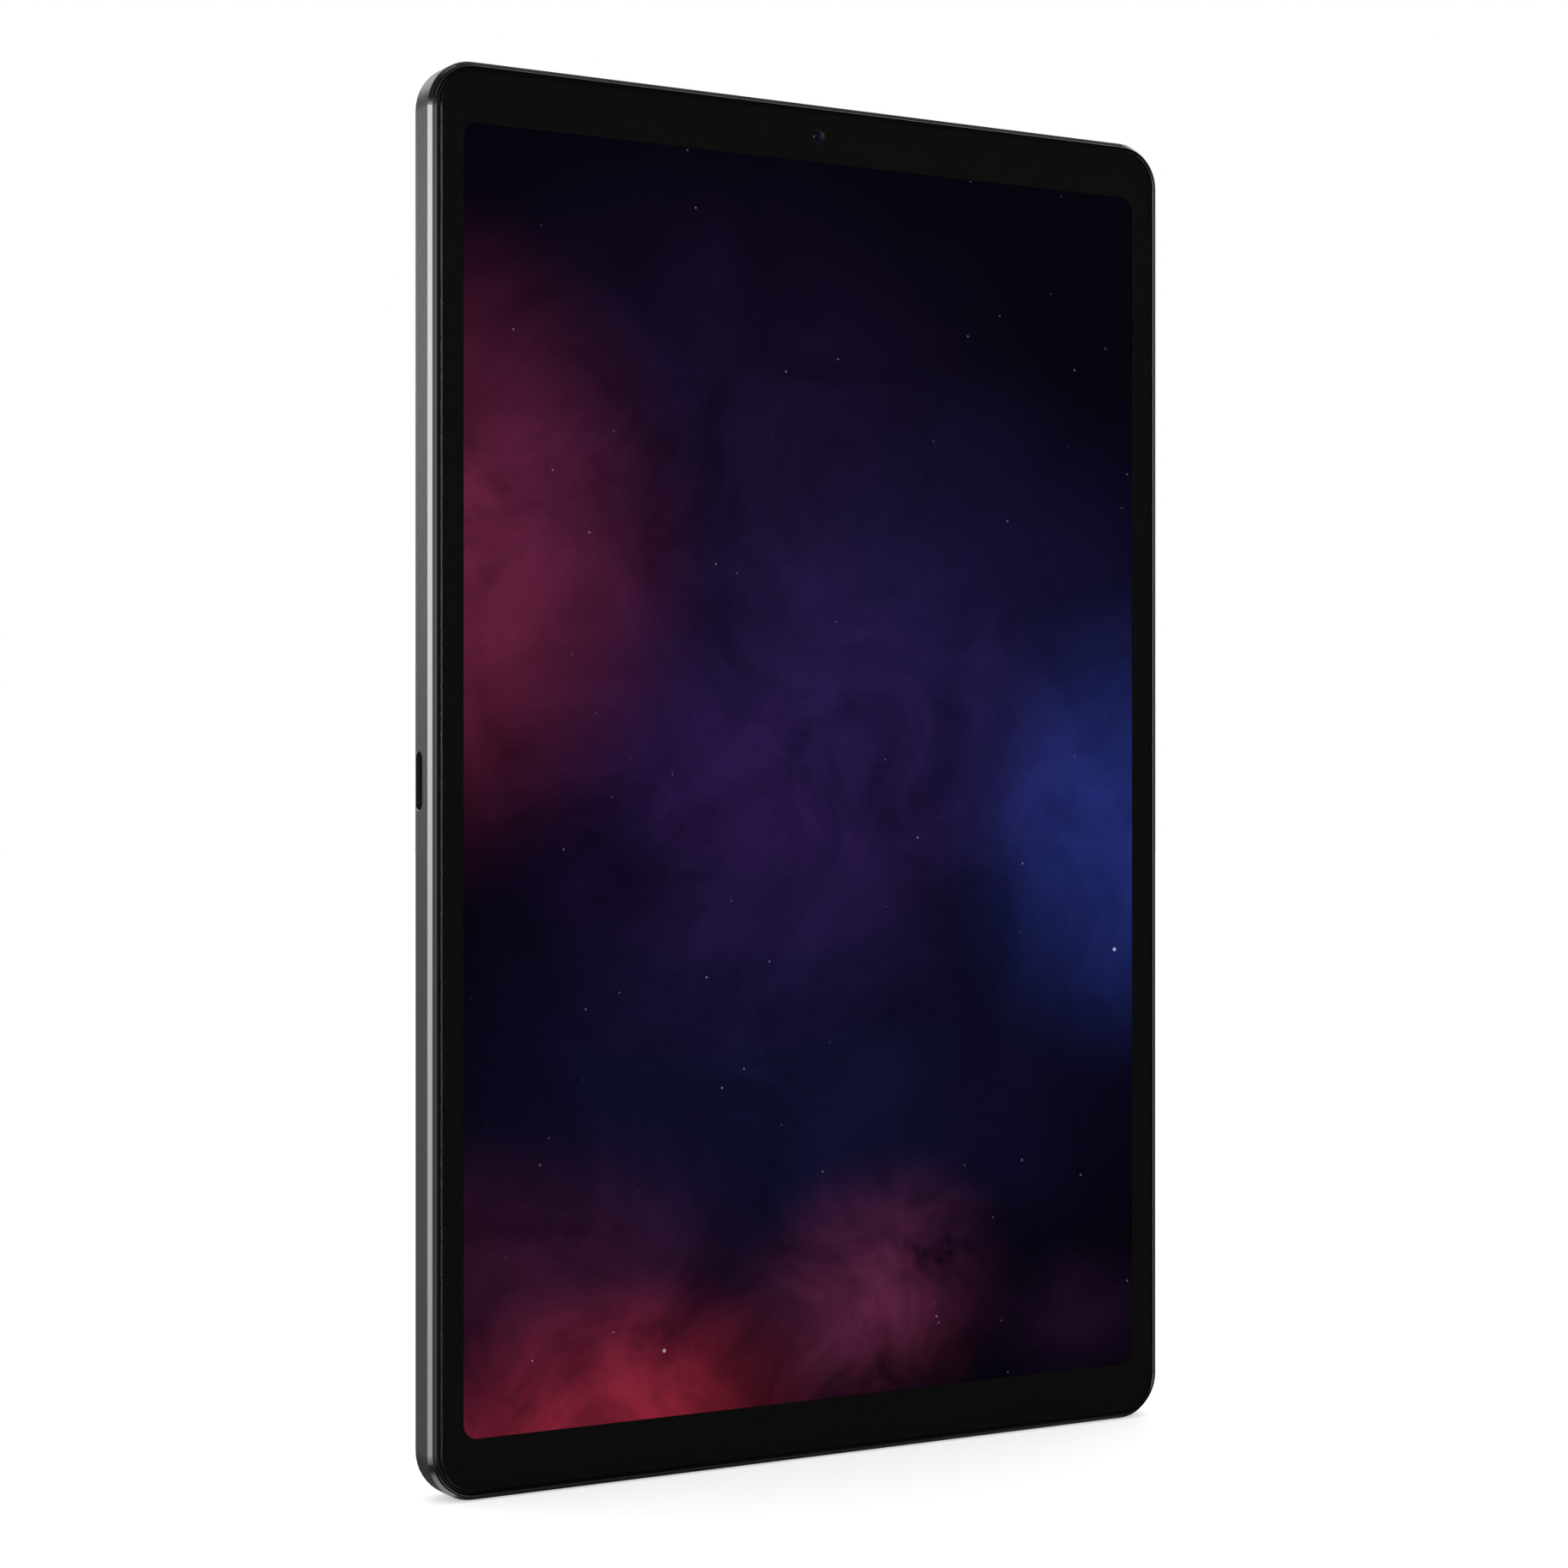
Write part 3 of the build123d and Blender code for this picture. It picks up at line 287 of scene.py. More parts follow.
def finish_body(finish):
    """Satin body with a diamond-cut front edge, its antenna breaks, island and keys."""
    satin = blasted_aluminium("bead_blasted_aluminium", finish.housing)
    # Diamond-cut aluminium: almost a mirror, with fine lines along the cut.
    cut = finish_material(Finish("diamond_cut_aluminium", shaded(finish.chamfer, 0.97),
                                 shaded(finish.chamfer, 1.02), grain=0.12, relief=0.0004,
                                 rough_low=0.1, rough_high=0.14, metallic=1.0,
                                 stretch=(1.0, 1.0, 0.05)))
    mesh = dress("rear_housing", satin, cut)
    # The same cut leaves the sloping edge and the narrow flat land inside it.
    cut_depth = BODY_LOW.y + CUT_REACH
    for face in mesh.polygons:
        on_slope = abs(face.normal.y - CUT_SLOPE) < SLOPE_SPREAD
        on_land = face.normal.y < FACING_FRONT
        if face.center.y < cut_depth and (on_slope or on_land):
            face.material_index = 1
    island = blasted_aluminium("bead_blasted_island", shaded(finish.housing, ISLAND_SHADE))
    for node in nodes_in("island_aluminium"):
        dress(node, island)
    key = blasted_aluminium("bead_blasted_key", shaded(finish.housing, KEY_SHADE))
    for node in nodes_in("key_aluminium"):
        dress(node, key)


# ---------------- front ----------------

GLASS_MIRROR = (0.55, 0.55, 0.55)  # how much of its reflection the toughened glass keeps


def toughened_glass(name, tint):
    """Toughened glass: polished, reflecting a little at its outer face and clear behind."""
    made, tree, out = new_material(name)
    place = add(tree, "ShaderNodeTexCoord").outputs["Object"]
    wiped = add(tree, "ShaderNodeTexNoise", {"Vector": place, "Scale": 1 / WIPED, "Detail": 5.0})
    rough = add(tree, "ShaderNodeMapRange", {"Value": wiped, "From Min": 0.4, "From Max": 0.7,
                                             "To Min": 0.015, "To Max": 0.04})
    faint = add(tree, "ShaderNodeMix", {"Factor": wiped, "A": tint, "B": shaded(tint, 0.985)},
                data_type="RGBA")
    mirror = add(tree, "ShaderNodeBsdfAnisotropic", {"Color": GLASS_MIRROR, "Roughness": rough},
                 distribution="GGX")
    clear = add(tree, "ShaderNodeBsdfTransparent", {"Color": faint})
    fresnel = add(tree, "ShaderNodeFresnel", {"IOR": 1.5})
    back = add(tree, "ShaderNodeNewGeometry").outputs["Backfacing"]
    outer = add(tree, "ShaderNodeMath", {0: 1.0, 1: back}, operation="SUBTRACT")
    share = add(tree, "ShaderNodeMath", {0: fresnel, 1: outer}, operation="MULTIPLY")
    both = add(tree, "ShaderNodeMixShader", {0: share, 1: clear, 2: mirror})
    tree.links.new(both.outputs[0], out.inputs["Surface"])
    return made


def finish_front(finish):
    """Cover glass, border print, clear adhesive and the glossy ring."""
    for node in nodes_in("cover_glass"):
        dress(node, toughened_glass("toughened_cover_glass", (1.0, 1.0, 1.0)))
        draw_in(node)
    # Screen-printed ink: dense, neutral black with the faint mottle of the print.
    ink = finish_material(Finish("screen_printed_ink", shaded(finish.ink, 0.98),
                                 shaded(finish.ink, 1.02), grain=0.4, relief=0.001,
                                 rough_low=0.6, rough_high=0.7, ior=1.0))
    for node in nodes_in("black_ink"):
        dress(node, ink)
    # Optically clear acrylic adhesive: takes nothing but a trace of light.
    made, tree, out = new_material("clear_acrylic_adhesive")
    place = add(tree, "ShaderNodeTexCoord").outputs["Object"]
    flow = add(tree, "ShaderNodeTexNoise", {"Vector": place, "Scale": 1 / FLOWED})
    tone = add(tree, "ShaderNodeMix", {"Factor": flow, "A": (0.995, 0.995, 0.99), "B": (1.0, 1.0, 1.0)},
               data_type="RGBA")
    through = add(tree, "ShaderNodeBsdfTransparent", {"Color": tone})
    tree.links.new(through.outputs[0], out.inputs["Surface"])
    for node in nodes_in("clear_adhesive"):
        dress(node, made)
        draw_in(node)
    # Piano-black polycarbonate ring: glossy, with a slightly wavy moulded skin.
    ring = finish_material(Finish("moulded_polycarbonate_gloss", shaded(finish.ring, 0.9),
                                  shaded(finish.ring, 1.1), grain=1.5, relief=0.0001,
                                  rough_low=0.08, rough_high=0.14, ior=1.58))
    for node in nodes_in("gloss_ring"):
        dress(node, ring)


# ---------------- lit picture ----------------

# Soft patches of light: middle across and up from the display's middle, half width and half
# height (all mm), tilt in degrees, colour, strength, and how much the cloud pattern breaks it.
Glow = namedtuple("Glow", "across up wide high tilt colour strength cloud")

SKY_GLOWS = (
    Glow(-14, 50, 70, 56, 0, "#140A24", 1.0, 0.5),
    Glow(30, 22, 64, 50, 0, "#100F30", 1.0, 0.3),
    Glow(-6, 0, 62, 46, 20, "#22123C", 1.0, 0.6),
    Glow(-2, -46, 84, 46, 0, "#0D0E2B", 1.0, 0.4),
    Glow(-50, -80, 52, 34, 0, "#341024", 0.9, 0.6),
    Glow(-40, -98, 44, 26, 10, "#7A1C28", 1.0, 0.8),
    Glow(10, -80, 30, 24, 20, "#4A1A30", 0.9, 1.0),
    Glow(48, -86, 24, 14, 0, "#1A0A1E", 0.8, 0.7),
)

CLOUD_SIZE = 26 * MM

# Stars: size of the cell that may hold one and radius of the star (mm), and brightness.
Stars = namedtuple("Stars", "cell radius level")
STARS = (Stars(4.2, 0.2, 0.5), Stars(13.0, 0.38, 1.2))
STAR_COLOUR = "#E8D8F4"


def lay_glows(tree, plane, cloud, base, glows):
    """Adds soft patches of light to a colour, and returns the colour."""
    for glow in glows:
        place = add(tree, "ShaderNodeMapping",
                    {"Vector": plane, "Location": (glow.across * MM, glow.up * MM, 0.0),
                     "Rotation": (0.0, 0.0, math.radians(glow.tilt)),
                     "Scale": (glow.wide * MM, glow.high * MM, FLAT)}, vector_type="TEXTURE")
        fall = add(tree, "ShaderNodeTexGradient", {"Vector": place}, gradient_type="SPHERICAL")
        soft = add(tree, "ShaderNodeMapRange", {"Value": fall.outputs["Fac"]},
                   interpolation_type="SMOOTHSTEP")
        broken = add(tree, "ShaderNodeMapRange",
                     {"Value": cloud, "From Min": 0.32, "From Max": 0.68,
                      "To Min": glow.strength * (1 - glow.cloud), "To Max": glow.strength * (1 + glow.cloud)})
        share = add(tree, "ShaderNodeMath", {0: soft, 1: broken}, operation="MULTIPLY")
        colour = srgb(glow.colour) if isinstance(glow.colour, str) else tuple(glow.colour)
        base = add(tree, "ShaderNodeMix", {"Factor": share, "A": base, "B": colour},
                   data_type="RGBA", blend_type="ADD", clamp_factor=False)
    return base


def picture_material(picture):
    """Liquid-crystal cell, lit from behind with a plain picture of clouds and stars."""
    made, tree, out = new_material("lit_liquid_crystal_cell")
    place = add(tree, "ShaderNodeTexCoord").outputs["Object"]
    parts = add(tree, "ShaderNodeSeparateXYZ", {0: place})
    up = add(tree, "ShaderNodeMath", {0: parts.outputs["Z"], 1: MIDDLE_Z}, operation="SUBTRACT")
    plane = add(tree, "ShaderNodeCombineXYZ", {0: parts.outputs["X"], 1: up})
    cloud = add(tree, "ShaderNodeTexNoise",
                {"Vector": plane, "Scale": 1 / CLOUD_SIZE, "Detail": 11.0, "Roughness": 0.66,
                 "Distortion": 0.9})
    ember = Glow(-66, 34, 50, 54, 0, picture.ember, 1.0, 0.5)
    azure = Glow(61, -8, 44, 44, 0, picture.azure, 1.0, 0.4)
    sky = lay_glows(tree, plane, cloud, tuple(picture.space), (ember, azure, *SKY_GLOWS))
    for stars in STARS:
        spots = add(tree, "ShaderNodeTexVoronoi", {"Vector": plane, "Scale": 1 / (stars.cell * MM)})
        near = add(tree, "ShaderNodeMapRange", {"Value": spots.outputs["Distance"],
                                                "From Min": stars.radius / stars.cell, "From Max": 0.0})
        chance = add(tree, "ShaderNodeMapRange", {"Value": spots.outputs["Color"], "From Min": 0.35,
                                                  "From Max": 0.75, "To Max": stars.level})
        star = add(tree, "ShaderNodeMath", {0: near, 1: chance}, operation="MULTIPLY")
        sky = add(tree, "ShaderNodeMix", {"Factor": star, "A": sky, "B": srgb(STAR_COLOUR)},
                  data_type="RGBA", blend_type="ADD")
    shader = add(tree, "ShaderNodeBsdfPrincipled",
                 {"Base Color": srgb("#020203"), "Roughness": 0.4, "Specular IOR Level": 0.0,
                  "Emission Color": sky, "Emission Strength": picture.glow})
    tree.links.new(shader.outputs[0], out.inputs["Surface"])
    return made


def light_display(picture):
    """Puts the picture on the front face of the liquid-crystal cell."""
    # Bare glass edge and back of the cell: dark polariser film.
    edge = finish_material(Finish("polariser_film_edge", srgb("#101113"), srgb("#1A1B1E"),
                                  grain=0.4, relief=0.001, rough_low=0.3, rough_high=0.4))
    for node in nodes_in("display_picture"):
        mesh = dress(node, edge, picture_material(picture))
        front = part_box(node)[0].y + HAIR
        for face in mesh.polygons:
            if face.center.y < front and face.normal.y < FACING_FRONT:
                face.material_index = 1


# ---------------- small fittings ----------------

def new_piece(name, bm, body, slot, *materials):
    """Makes a mesh piece that rides on a body."""
    mesh = bpy.data.meshes.new(name)
    bmesh.ops.recalc_face_normals(bm, faces=bm.faces)
    bm.to_mesh(mesh)
    bm.free()
    for made in materials:
        mesh.materials.append(made)
    piece = bpy.data.objects.new(name, mesh)
    bpy.context.scene.collection.objects.link(piece)
    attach(piece, body)
    return piece


def turned(bm, middle, profile, steps=72):
    """Turns a closed profile of (radius, depth) points about the Y axis through a point."""
    rings = []
    for radius, depth in profile:
        if radius == 0:
            rings.append([bm.verts.new((middle.x, depth, middle.z))])
            continue
        angles = [2 * math.pi * i / steps for i in range(steps)]
        rings.append([bm.verts.new((middle.x + radius * math.cos(a), depth,
                                    middle.z + radius * math.sin(a))) for a in angles])
    for one, two in zip(rings, rings[1:] + rings[:1]):
        for i in range(steps):
            j = (i + 1) % steps
            corners = [one[i % len(one)], one[j % len(one)], two[j % len(two)], two[i % len(two)]]
            unique = list(dict.fromkeys(corners))
            if len(unique) > 2:
                bm.faces.new(unique)
    for face in bm.faces:
        face.smooth = True


def smooth_by_angle(piece, degrees=35):
    """Keeps creases sharper than an angle."""
    edges = piece.data.edges
    angles = {}
    for face in piece.data.polygons:
        for key in face.edge_keys:
            angles.setdefault(key, []).append(face.normal)
    for edge in edges:
        normals = angles.get(tuple(sorted(edge.vertices)), [])
        edge.use_edge_sharp = len(normals) == 2 and normals[0].angle(normals[1], 0) > math.radians(degrees)


def dome_profile(radius, low, rise, steps=10):
    """Closed profile of a lens: a flat foot, a short edge and a crowned face along the Y axis."""
    rim = 0.18 * rise
    points = [(0.0, low), (radius, low), (radius, low + rim)]
    for i in range(1, steps):
        angle = math.pi / 2 * i / steps
        points.append((radius * math.cos(angle), low + rim + (rise - rim) * math.sin(angle)))
    return points + [(0.0, low + rise)]


def coated_lens(name, tint):
    """Coated optical glass: nearly black, with the coloured sheen of its coating, real in its tinted coat and
    painted into its colour towards edge-on views.
    """
    made, tree, out = new_material(name)
    place = add(tree, "ShaderNodeTexCoord").outputs["Object"]
    dust = add(tree, "ShaderNodeTexNoise", {"Vector": place, "Scale": 1 / (0.6 * MM), "Detail": 4.0})
    rough = add(tree, "ShaderNodeMapRange", {"Value": dust, "To Min": 0.02, "To Max": 0.08})
    # Painted sheen: the colour turns from near black to the coating's tint where the lens is seen edge on.
    painted_sheen_share = add(tree, "ShaderNodeLayerWeight", {"Blend": 0.35})
    colour = add(tree, "ShaderNodeMix",
                 {"Factor": painted_sheen_share.outputs["Facing"], "A": srgb("#050609"), "B": tint}, data_type="RGBA")
    shader = add(tree, "ShaderNodeBsdfPrincipled",
                 {"Base Color": colour, "Roughness": rough, "IOR": 1.7, "Specular Tint": tint,
                  "Coat Weight": 1.0, "Coat Roughness": 0.02, "Coat IOR": 1.6, "Coat Tint": tint})
    tree.links.new(shader.outputs[0], out.inputs["Surface"])
    return made


def turned_metal(name, middle, colour, ridge):
    """Turned and dyed metal, with fine tool rings round its own axis; ridge is the width of one."""
    made, tree, out = new_material(name)
    place = add(tree, "ShaderNodeTexCoord").outputs["Object"]
    own = add(tree, "ShaderNodeMapping", {"Vector": place, "Location": tuple(middle)}, vector_type="TEXTURE")
    rings = add(tree, "ShaderNodeTexWave", {"Vector": own, "Scale": HALF_WAVE / (ridge * MM),
                                            "Distortion": 0.4, "Detail": 2.0},
                wave_type="RINGS", rings_direction="Y")
    tone = add(tree, "ShaderNodeMix", {"Factor": rings.outputs["Fac"], "A": shaded(colour, 0.85),
                                       "B": shaded(colour, 1.15)}, data_type="RGBA")
    rough = add(tree, "ShaderNodeMapRange", {"Value": rings.outputs["Fac"], "To Min": 0.16, "To Max": 0.24})
    bump = add(tree, "ShaderNodeBump", {"Height": rings.outputs["Fac"], "Distance": 0.002 * MM})
    shader = add(tree, "ShaderNodeBsdfPrincipled",
                 {"Base Color": tone, "Metallic": 1.0, "Roughness": rough, "Normal": bump})
    tree.links.new(shader.outputs[0], out.inputs["Surface"])
    return made


def middle_of(node):
    low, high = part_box(node)
    return (low + high) / 2


# Front camera, in mm: radii from the pupil out, and depths behind its front.
PUPIL, THROAT, LIP, CAP, BOX = 0.7, 1.15, 1.25, 1.7, 2.3
PUPIL_DEPTH, THROAT_DEPTH, CAP_DEPTH = 0.75, 0.45, 2.0
LIP_BEVEL, CAP_BEVEL = 0.02, 0.04
FRONT_LENS_RADIUS, FRONT_LENS_RISE = 0.68, 0.32


def make_front_camera():
    """Selfie camera with a stepped throat and a coated lens, in place of its plain CAD block."""
    low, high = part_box("front_camera")
    middle = Vector((0.0, 0.0, middle_of("front_camera").z))
    front, depth = low.y, (high.y - low.y) / MM
    profile = [(0.0, PUPIL_DEPTH), (PUPIL, PUPIL_DEPTH), (PUPIL, THROAT_DEPTH), (THROAT, LIP_BEVEL),
               (LIP, 0.0), (CAP - CAP_BEVEL, 0.0), (CAP, CAP_BEVEL), (CAP, CAP_DEPTH),
               (BOX, CAP_DEPTH), (BOX, depth), (0.0, depth)]
    bm = bmesh.new()
    turned(bm, middle, [(radius * MM, front + behind * MM) for radius, behind in profile])
    matt = finish_material(recipe_from(INNER_FINISHES["camera_plastic"]))
    body = new_piece("front_camera_housing", bm, "tablet", "camera_plastic", matt)
    smooth_by_angle(body)
    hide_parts("front_camera")
    bm = bmesh.new()
    # The dome is drawn rising away from its foot, then turned round to face forward.
    dome = dome_profile(FRONT_LENS_RADIUS * MM, front, FRONT_LENS_RISE * MM)
    turned(bm, middle, [(radius, 2 * front + PUPIL_DEPTH * MM - y) for radius, y in dome])
    lens = new_piece("front_camera_lens", bm, "tablet", "lens_window",
                     coated_lens("coated_front_lens", srgb("#5D7FA8")))
    smooth_by_angle(lens)


RING_SHADE = 1.2  # of the lens rings, against the body's colour
RING_RIDGE, FLASH_RIDGE = 0.18, 0.28  # mm
MASK_HOLE, MASK_EDGE = 0.62, 0.985  # radii of the print behind a rear window, as its shares
MASK_THICKNESS = 0.04 * MM
LENS_GAP = 0.002 * MM

# Rear lenses: the body each rides on and the node it sits on, its radius, where its foot is
# against the top of that node, and how far it rises (all mm).
Seat = namedtuple("Seat", "kind body node radius foot rise")
SEATS = (Seat("main", "focus_barrel", "main_camera_barrel", 2.4, -0.45, 0.42),
         Seat("macro", "tablet", "macro_camera", 1.7, 0.0, 0.4))


def make_rear_lenses(finish):
    """Window masks, coated lenses, turned rings and the flash diffuser on the back."""
    ring_colour = shaded(finish.housing, RING_SHADE)
    for kind in ("main", "macro"):
        ring, glass = f"{kind}_lens_ring", f"{kind}_lens_glass"
        dress(ring, turned_metal(f"turned_{kind}_ring", middle_of(ring), ring_colour, RING_RIDGE))
        dress(glass, toughened_glass(f"tinted_{kind}_window", (0.8, 0.82, 0.85)))
        low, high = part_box(glass)
        middle, radius = (low + high) / 2, (high.x - low.x) / 2
        bm = bmesh.new()
        hole, edge = radius * MASK_HOLE, radius * MASK_EDGE
        under = low.y - HAIR
        turned(bm, middle, [(hole, under - MASK_THICKNESS), (edge, under - MASK_THICKNESS),
                            (edge, under), (hole, under)])
        matt = finish_material(
            recipe_from(INNER_FINISHES["camera_plastic"])._replace(name=f"{kind}_mask_ink"))
        smooth_by_angle(new_piece(f"{kind}_window_mask", bm, "tablet", "black_ink", matt))
    for seat in SEATS:
        middle = middle_of(f"{seat.kind}_lens_glass")
        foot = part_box(seat.node)[1].y + seat.foot * MM
        bm = bmesh.new()
        turned(bm, middle, dome_profile(seat.radius * MM, foot + LENS_GAP, seat.rise * MM))
        smooth_by_angle(new_piece(f"{seat.kind}_camera_lens", bm, seat.body, "lens_window",
                                  coated_lens(f"coated_{seat.kind}_lens", srgb("#6A5FB0"))))
    made, tree, out = new_material("moulded_flash_diffuser")
    # Moulded acrylic diffuser: milky, with the fine rings of a stepped lens.
    place = add(tree, "ShaderNodeTexCoord").outputs["Object"]
    own = add(tree, "ShaderNodeMapping", {"Vector": place, "Location": tuple(middle_of("flash_lens"))},
              vector_type="TEXTURE")
    rings = add(tree, "ShaderNodeTexWave", {"Vector": own, "Scale": HALF_WAVE / (FLASH_RIDGE * MM)},
                wave_type="RINGS", rings_direction="Y", wave_profile="SAW")
    tone = add(tree, "ShaderNodeMix", {"Factor": rings.outputs["Fac"], "A": srgb("#D8D2B4"),
                                       "B": srgb("#F3F0E2")}, data_type="RGBA")
    bump = add(tree, "ShaderNodeBump", {"Height": rings.outputs["Fac"], "Distance": 0.05 * MM})
    shader = add(tree, "ShaderNodeBsdfPrincipled",
                 {"Base Color": tone, "Roughness": 0.18, "IOR": 1.49, "Normal": bump,
                  "Subsurface Weight": 0.2, "Subsurface Radius": (0.001, 0.001, 0.001)})
    tree.links.new(shader.outputs[0], out.inputs["Surface"])
    for node in nodes_in("flash_diffuser"):
        dress(node, made)


def make_port_contacts():
    """Gold contact strips on both faces of each port's tongue."""
    # Hard gold plating: warm and bright, with faint lines of wear along each strip.
    gold = finish_material(Finish("hard_gold_plating", srgb("#C99A45"), srgb("#E6C071"), grain=0.08,
                                  relief=0.0008, rough_low=0.18, rough_high=0.3, metallic=1.0))
    count, pitch, width, length, proud = 12, 0.5 * MM, 0.26 * MM, 2.4 * MM, 0.02 * MM
    half_tongue, from_tip = 0.35 * MM, 0.4 * MM
    for port, along, across in (("side", Vector((1, 0, 0)), Vector((0, 0, 1))),
                                ("lower", Vector((0, 0, 1)), Vector((1, 0, 0)))):
        low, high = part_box(f"{port}_port_tongue")
        middle = (low + high) / 2
        tip = low.x if port == "side" else low.z
        bm = bmesh.new()
        for face in (-1, 1):
            for i in range(count):
                offset = (i - (count - 1) / 2) * pitch
                centre = middle.copy()
                centre += across * offset
                centre += along * (tip + from_tip + length / 2 - centre.dot(along))
                centre.y = middle.y + face * (half_tongue + proud / 2)
                size = along * length + across * width + Vector((0, proud, 0))
                made = bmesh.ops.create_cube(bm, size=1.0)["verts"]
                bmesh.ops.scale(bm, vec=size, verts=made)
                bmesh.ops.translate(bm, vec=centre, verts=made)
        new_piece(f"{port}_port_contacts", bm, "tablet", "port_steel", gold)


# ---------------- inside ----------------

def patterned_board(name):
    """Circuit board: dark solder mask over copper tracks, and small tinned pads."""
    made, tree, out = new_material(name)
    place = add(tree, "ShaderNodeTexCoord").outputs["Object"]
    parts = add(tree, "ShaderNodeSeparateXYZ", {0: place})
    plane = add(tree, "ShaderNodeCombineXYZ", {0: parts.outputs["X"], 1: parts.outputs["Z"]})
    # Tracks are 0.1 mm in such a board; they are drawn at about 0.25 mm so that they show.
    tracks = add(tree, "ShaderNodeTexBrick",
                 {"Vector": plane, "Scale": 1 / (4 * MM), "Mortar Size": 0.03, "Brick Width": 0.7,
                  "Row Height": 0.3, "Color1": srgb("#0B1E16"), "Color2": srgb("#0E261B"),
                  "Mortar": srgb("#1B4A33")})
    pads = add(tree, "ShaderNodeTexVoronoi", {"Vector": plane, "Scale": 1 / (2.2 * MM)})
    pad = add(tree, "ShaderNodeMath", {0: pads.outputs["Distance"], 1: 0.16}, operation="LESS_THAN")
    colour = add(tree, "ShaderNodeMix", {"Factor": pad, "A": tracks, "B": srgb("#B9B4A4")}, data_type="RGBA")
    bump = add(tree, "ShaderNodeBump", {"Height": tracks.outputs["Fac"], "Distance": 0.03 * MM})
    shader = add(tree, "ShaderNodeBsdfPrincipled",
                 {"Base Color": colour, "Roughness": 0.35, "Metallic": pad, "Normal": bump})
    tree.links.new(shader.outputs[0], out.inputs["Surface"])
    return made


def woven_mesh(name):
    """Woven stainless gauze behind the grille holes, its openings painted near black as shade."""
    made, tree, out = new_material(name)
    place = add(tree, "ShaderNodeTexCoord").outputs["Object"]
    # The gauze has 0.1 mm openings; they are drawn at 0.2 mm so that the weave shows.
    opening = 0.2 * MM
    wires = [add(tree, "ShaderNodeTexWave", {"Vector": place, "Scale": HALF_WAVE / opening},
                 bands_direction=axis).outputs["Fac"] for axis in "XY"]
    weave = add(tree, "ShaderNodeMath", {0: wires[0], 1: wires[1]}, operation="MAXIMUM")
    # Painted shade: between the wires the gauze is near black, standing for the dark space seen through its
    # openings.
    colour = add(tree, "ShaderNodeMix", {"Factor": weave, "A": srgb("#050505"), "B": srgb("#5C5D60")},
                 data_type="RGBA")
    bump = add(tree, "ShaderNodeBump", {"Height": weave, "Distance": 0.04 * MM})
    shader = add(tree, "ShaderNodeBsdfPrincipled",
                 {"Base Color": colour, "Metallic": 1.0, "Roughness": 0.35, "Normal": bump})
    tree.links.new(shader.outputs[0], out.inputs["Surface"])
    return made


def finish_inside():
    """Finishes of the parts inside, one material for each slot of the record."""
    special = {"circuit_board": patterned_board("solder_masked_board"),
               "mesh_steel": woven_mesh("woven_steel_gauze")}
    for slot in (*INNER_FINISHES, *special):
        made = special.get(slot) or finish_material(recipe_from(INNER_FINISHES[slot]))
        for node in nodes_in(slot):
            dress(node, made)


# ---------------- stage ----------------

# What shiny surfaces see of the studio: middle as a compass turn in degrees from behind the
# tablet (+Y) towards its right (+X), half width where it is full and where it ends, strength,
# and brightness by height of the direction (-1 straight down, 1 straight up).
Softbox = namedtuple("Softbox", "turn full end strength heights")
SOFTBOXES = (
    Softbox(-122, 30, 62, 2.05, ((-0.45, 0.0), (-0.3, 0.4), (-0.2, 0.46), (-0.1, 0.6), (0.02, 0.92),
                                 (0.12, 0.95), (0.2, 1.0), (0.26, 0.85), (0.36, 0.0))),
    Softbox(-5, 50, 85, 1.05, ((0.36, 0.0), (0.5, 1.0), (0.62, 1.0), (0.75, 0.3), (1.0, 0.1))),
    Softbox(50, 14, 40, 1.1, ((0.22, 0.0), (0.34, 0.9), (0.6, 0.9), (0.8, 0.0))),
    Softbox(98, 10, 34, 0.6, ((-0.4, 0.2), (-0.1, 0.8), (0.2, 1.0), (0.5, 0.6), (0.8, 0.1))),
)
# The room round the softboxes: brightness by height, and the turn and half widths of its dark
# side, with the share of its light that is left there.
ROOM_HEIGHTS = ((-1.0, 0.7), (-0.75, 0.55), (-0.6, 0.04), (-0.3, 0.06), (-0.22, 0.14), (0.0, 0.165),
                (0.06, 0.32), (0.12, 0.41), (0.18, 0.44), (0.26, 0.14), (0.4, 0.05), (0.9, 0.05),
                (1.0, 0.25))
DARK_TURN, DARK_FULL, DARK_END = 112, 54, 78
DARK_LEFT = 0.04

FLOOR_RADIUS = 4.0
FLOOR_GLOW = 0.42  # light of its own, which keeps the shadow on it pale
FLOOR_GAP = 0.02 * MM

LAMP_SIZE = 1.6
LAMP_POWER = 4.0  # watts
LAMP_PLACE = (0.15, 0.2, 1.6)
LAMP_TILT = (-7, 5, 0)  # degrees

SENSOR_WIDTH = 36.0  # mm
LENS_SHIFT = -0.002  # share of the sensor's width
CLIP_NEAR, CLIP_FAR = 0.01, 20.0


def set_stops(ramp, stops):
    """Gives a colour ramp its grey stops of (place, brightness)."""
    elements = ramp.color_ramp.elements
    while len(elements) < len(stops):
        elements.new(0.5)
    for element, (place, level) in zip(elements, stops):
        element.position = place
        element.color = (level, level, level, 1.0)
    return ramp


def by_height(tree, height, heights):
    """Brightness of the studio by height of the direction."""
    place = add(tree, "ShaderNodeMapRange", {"Value": height, "From Min": -1.0, "From Max": 1.0})
    return set_stops(add(tree, "ShaderNodeValToRGB", {"Fac": place}),
                     [((h + 1) / 2, level) for h, level in heights])


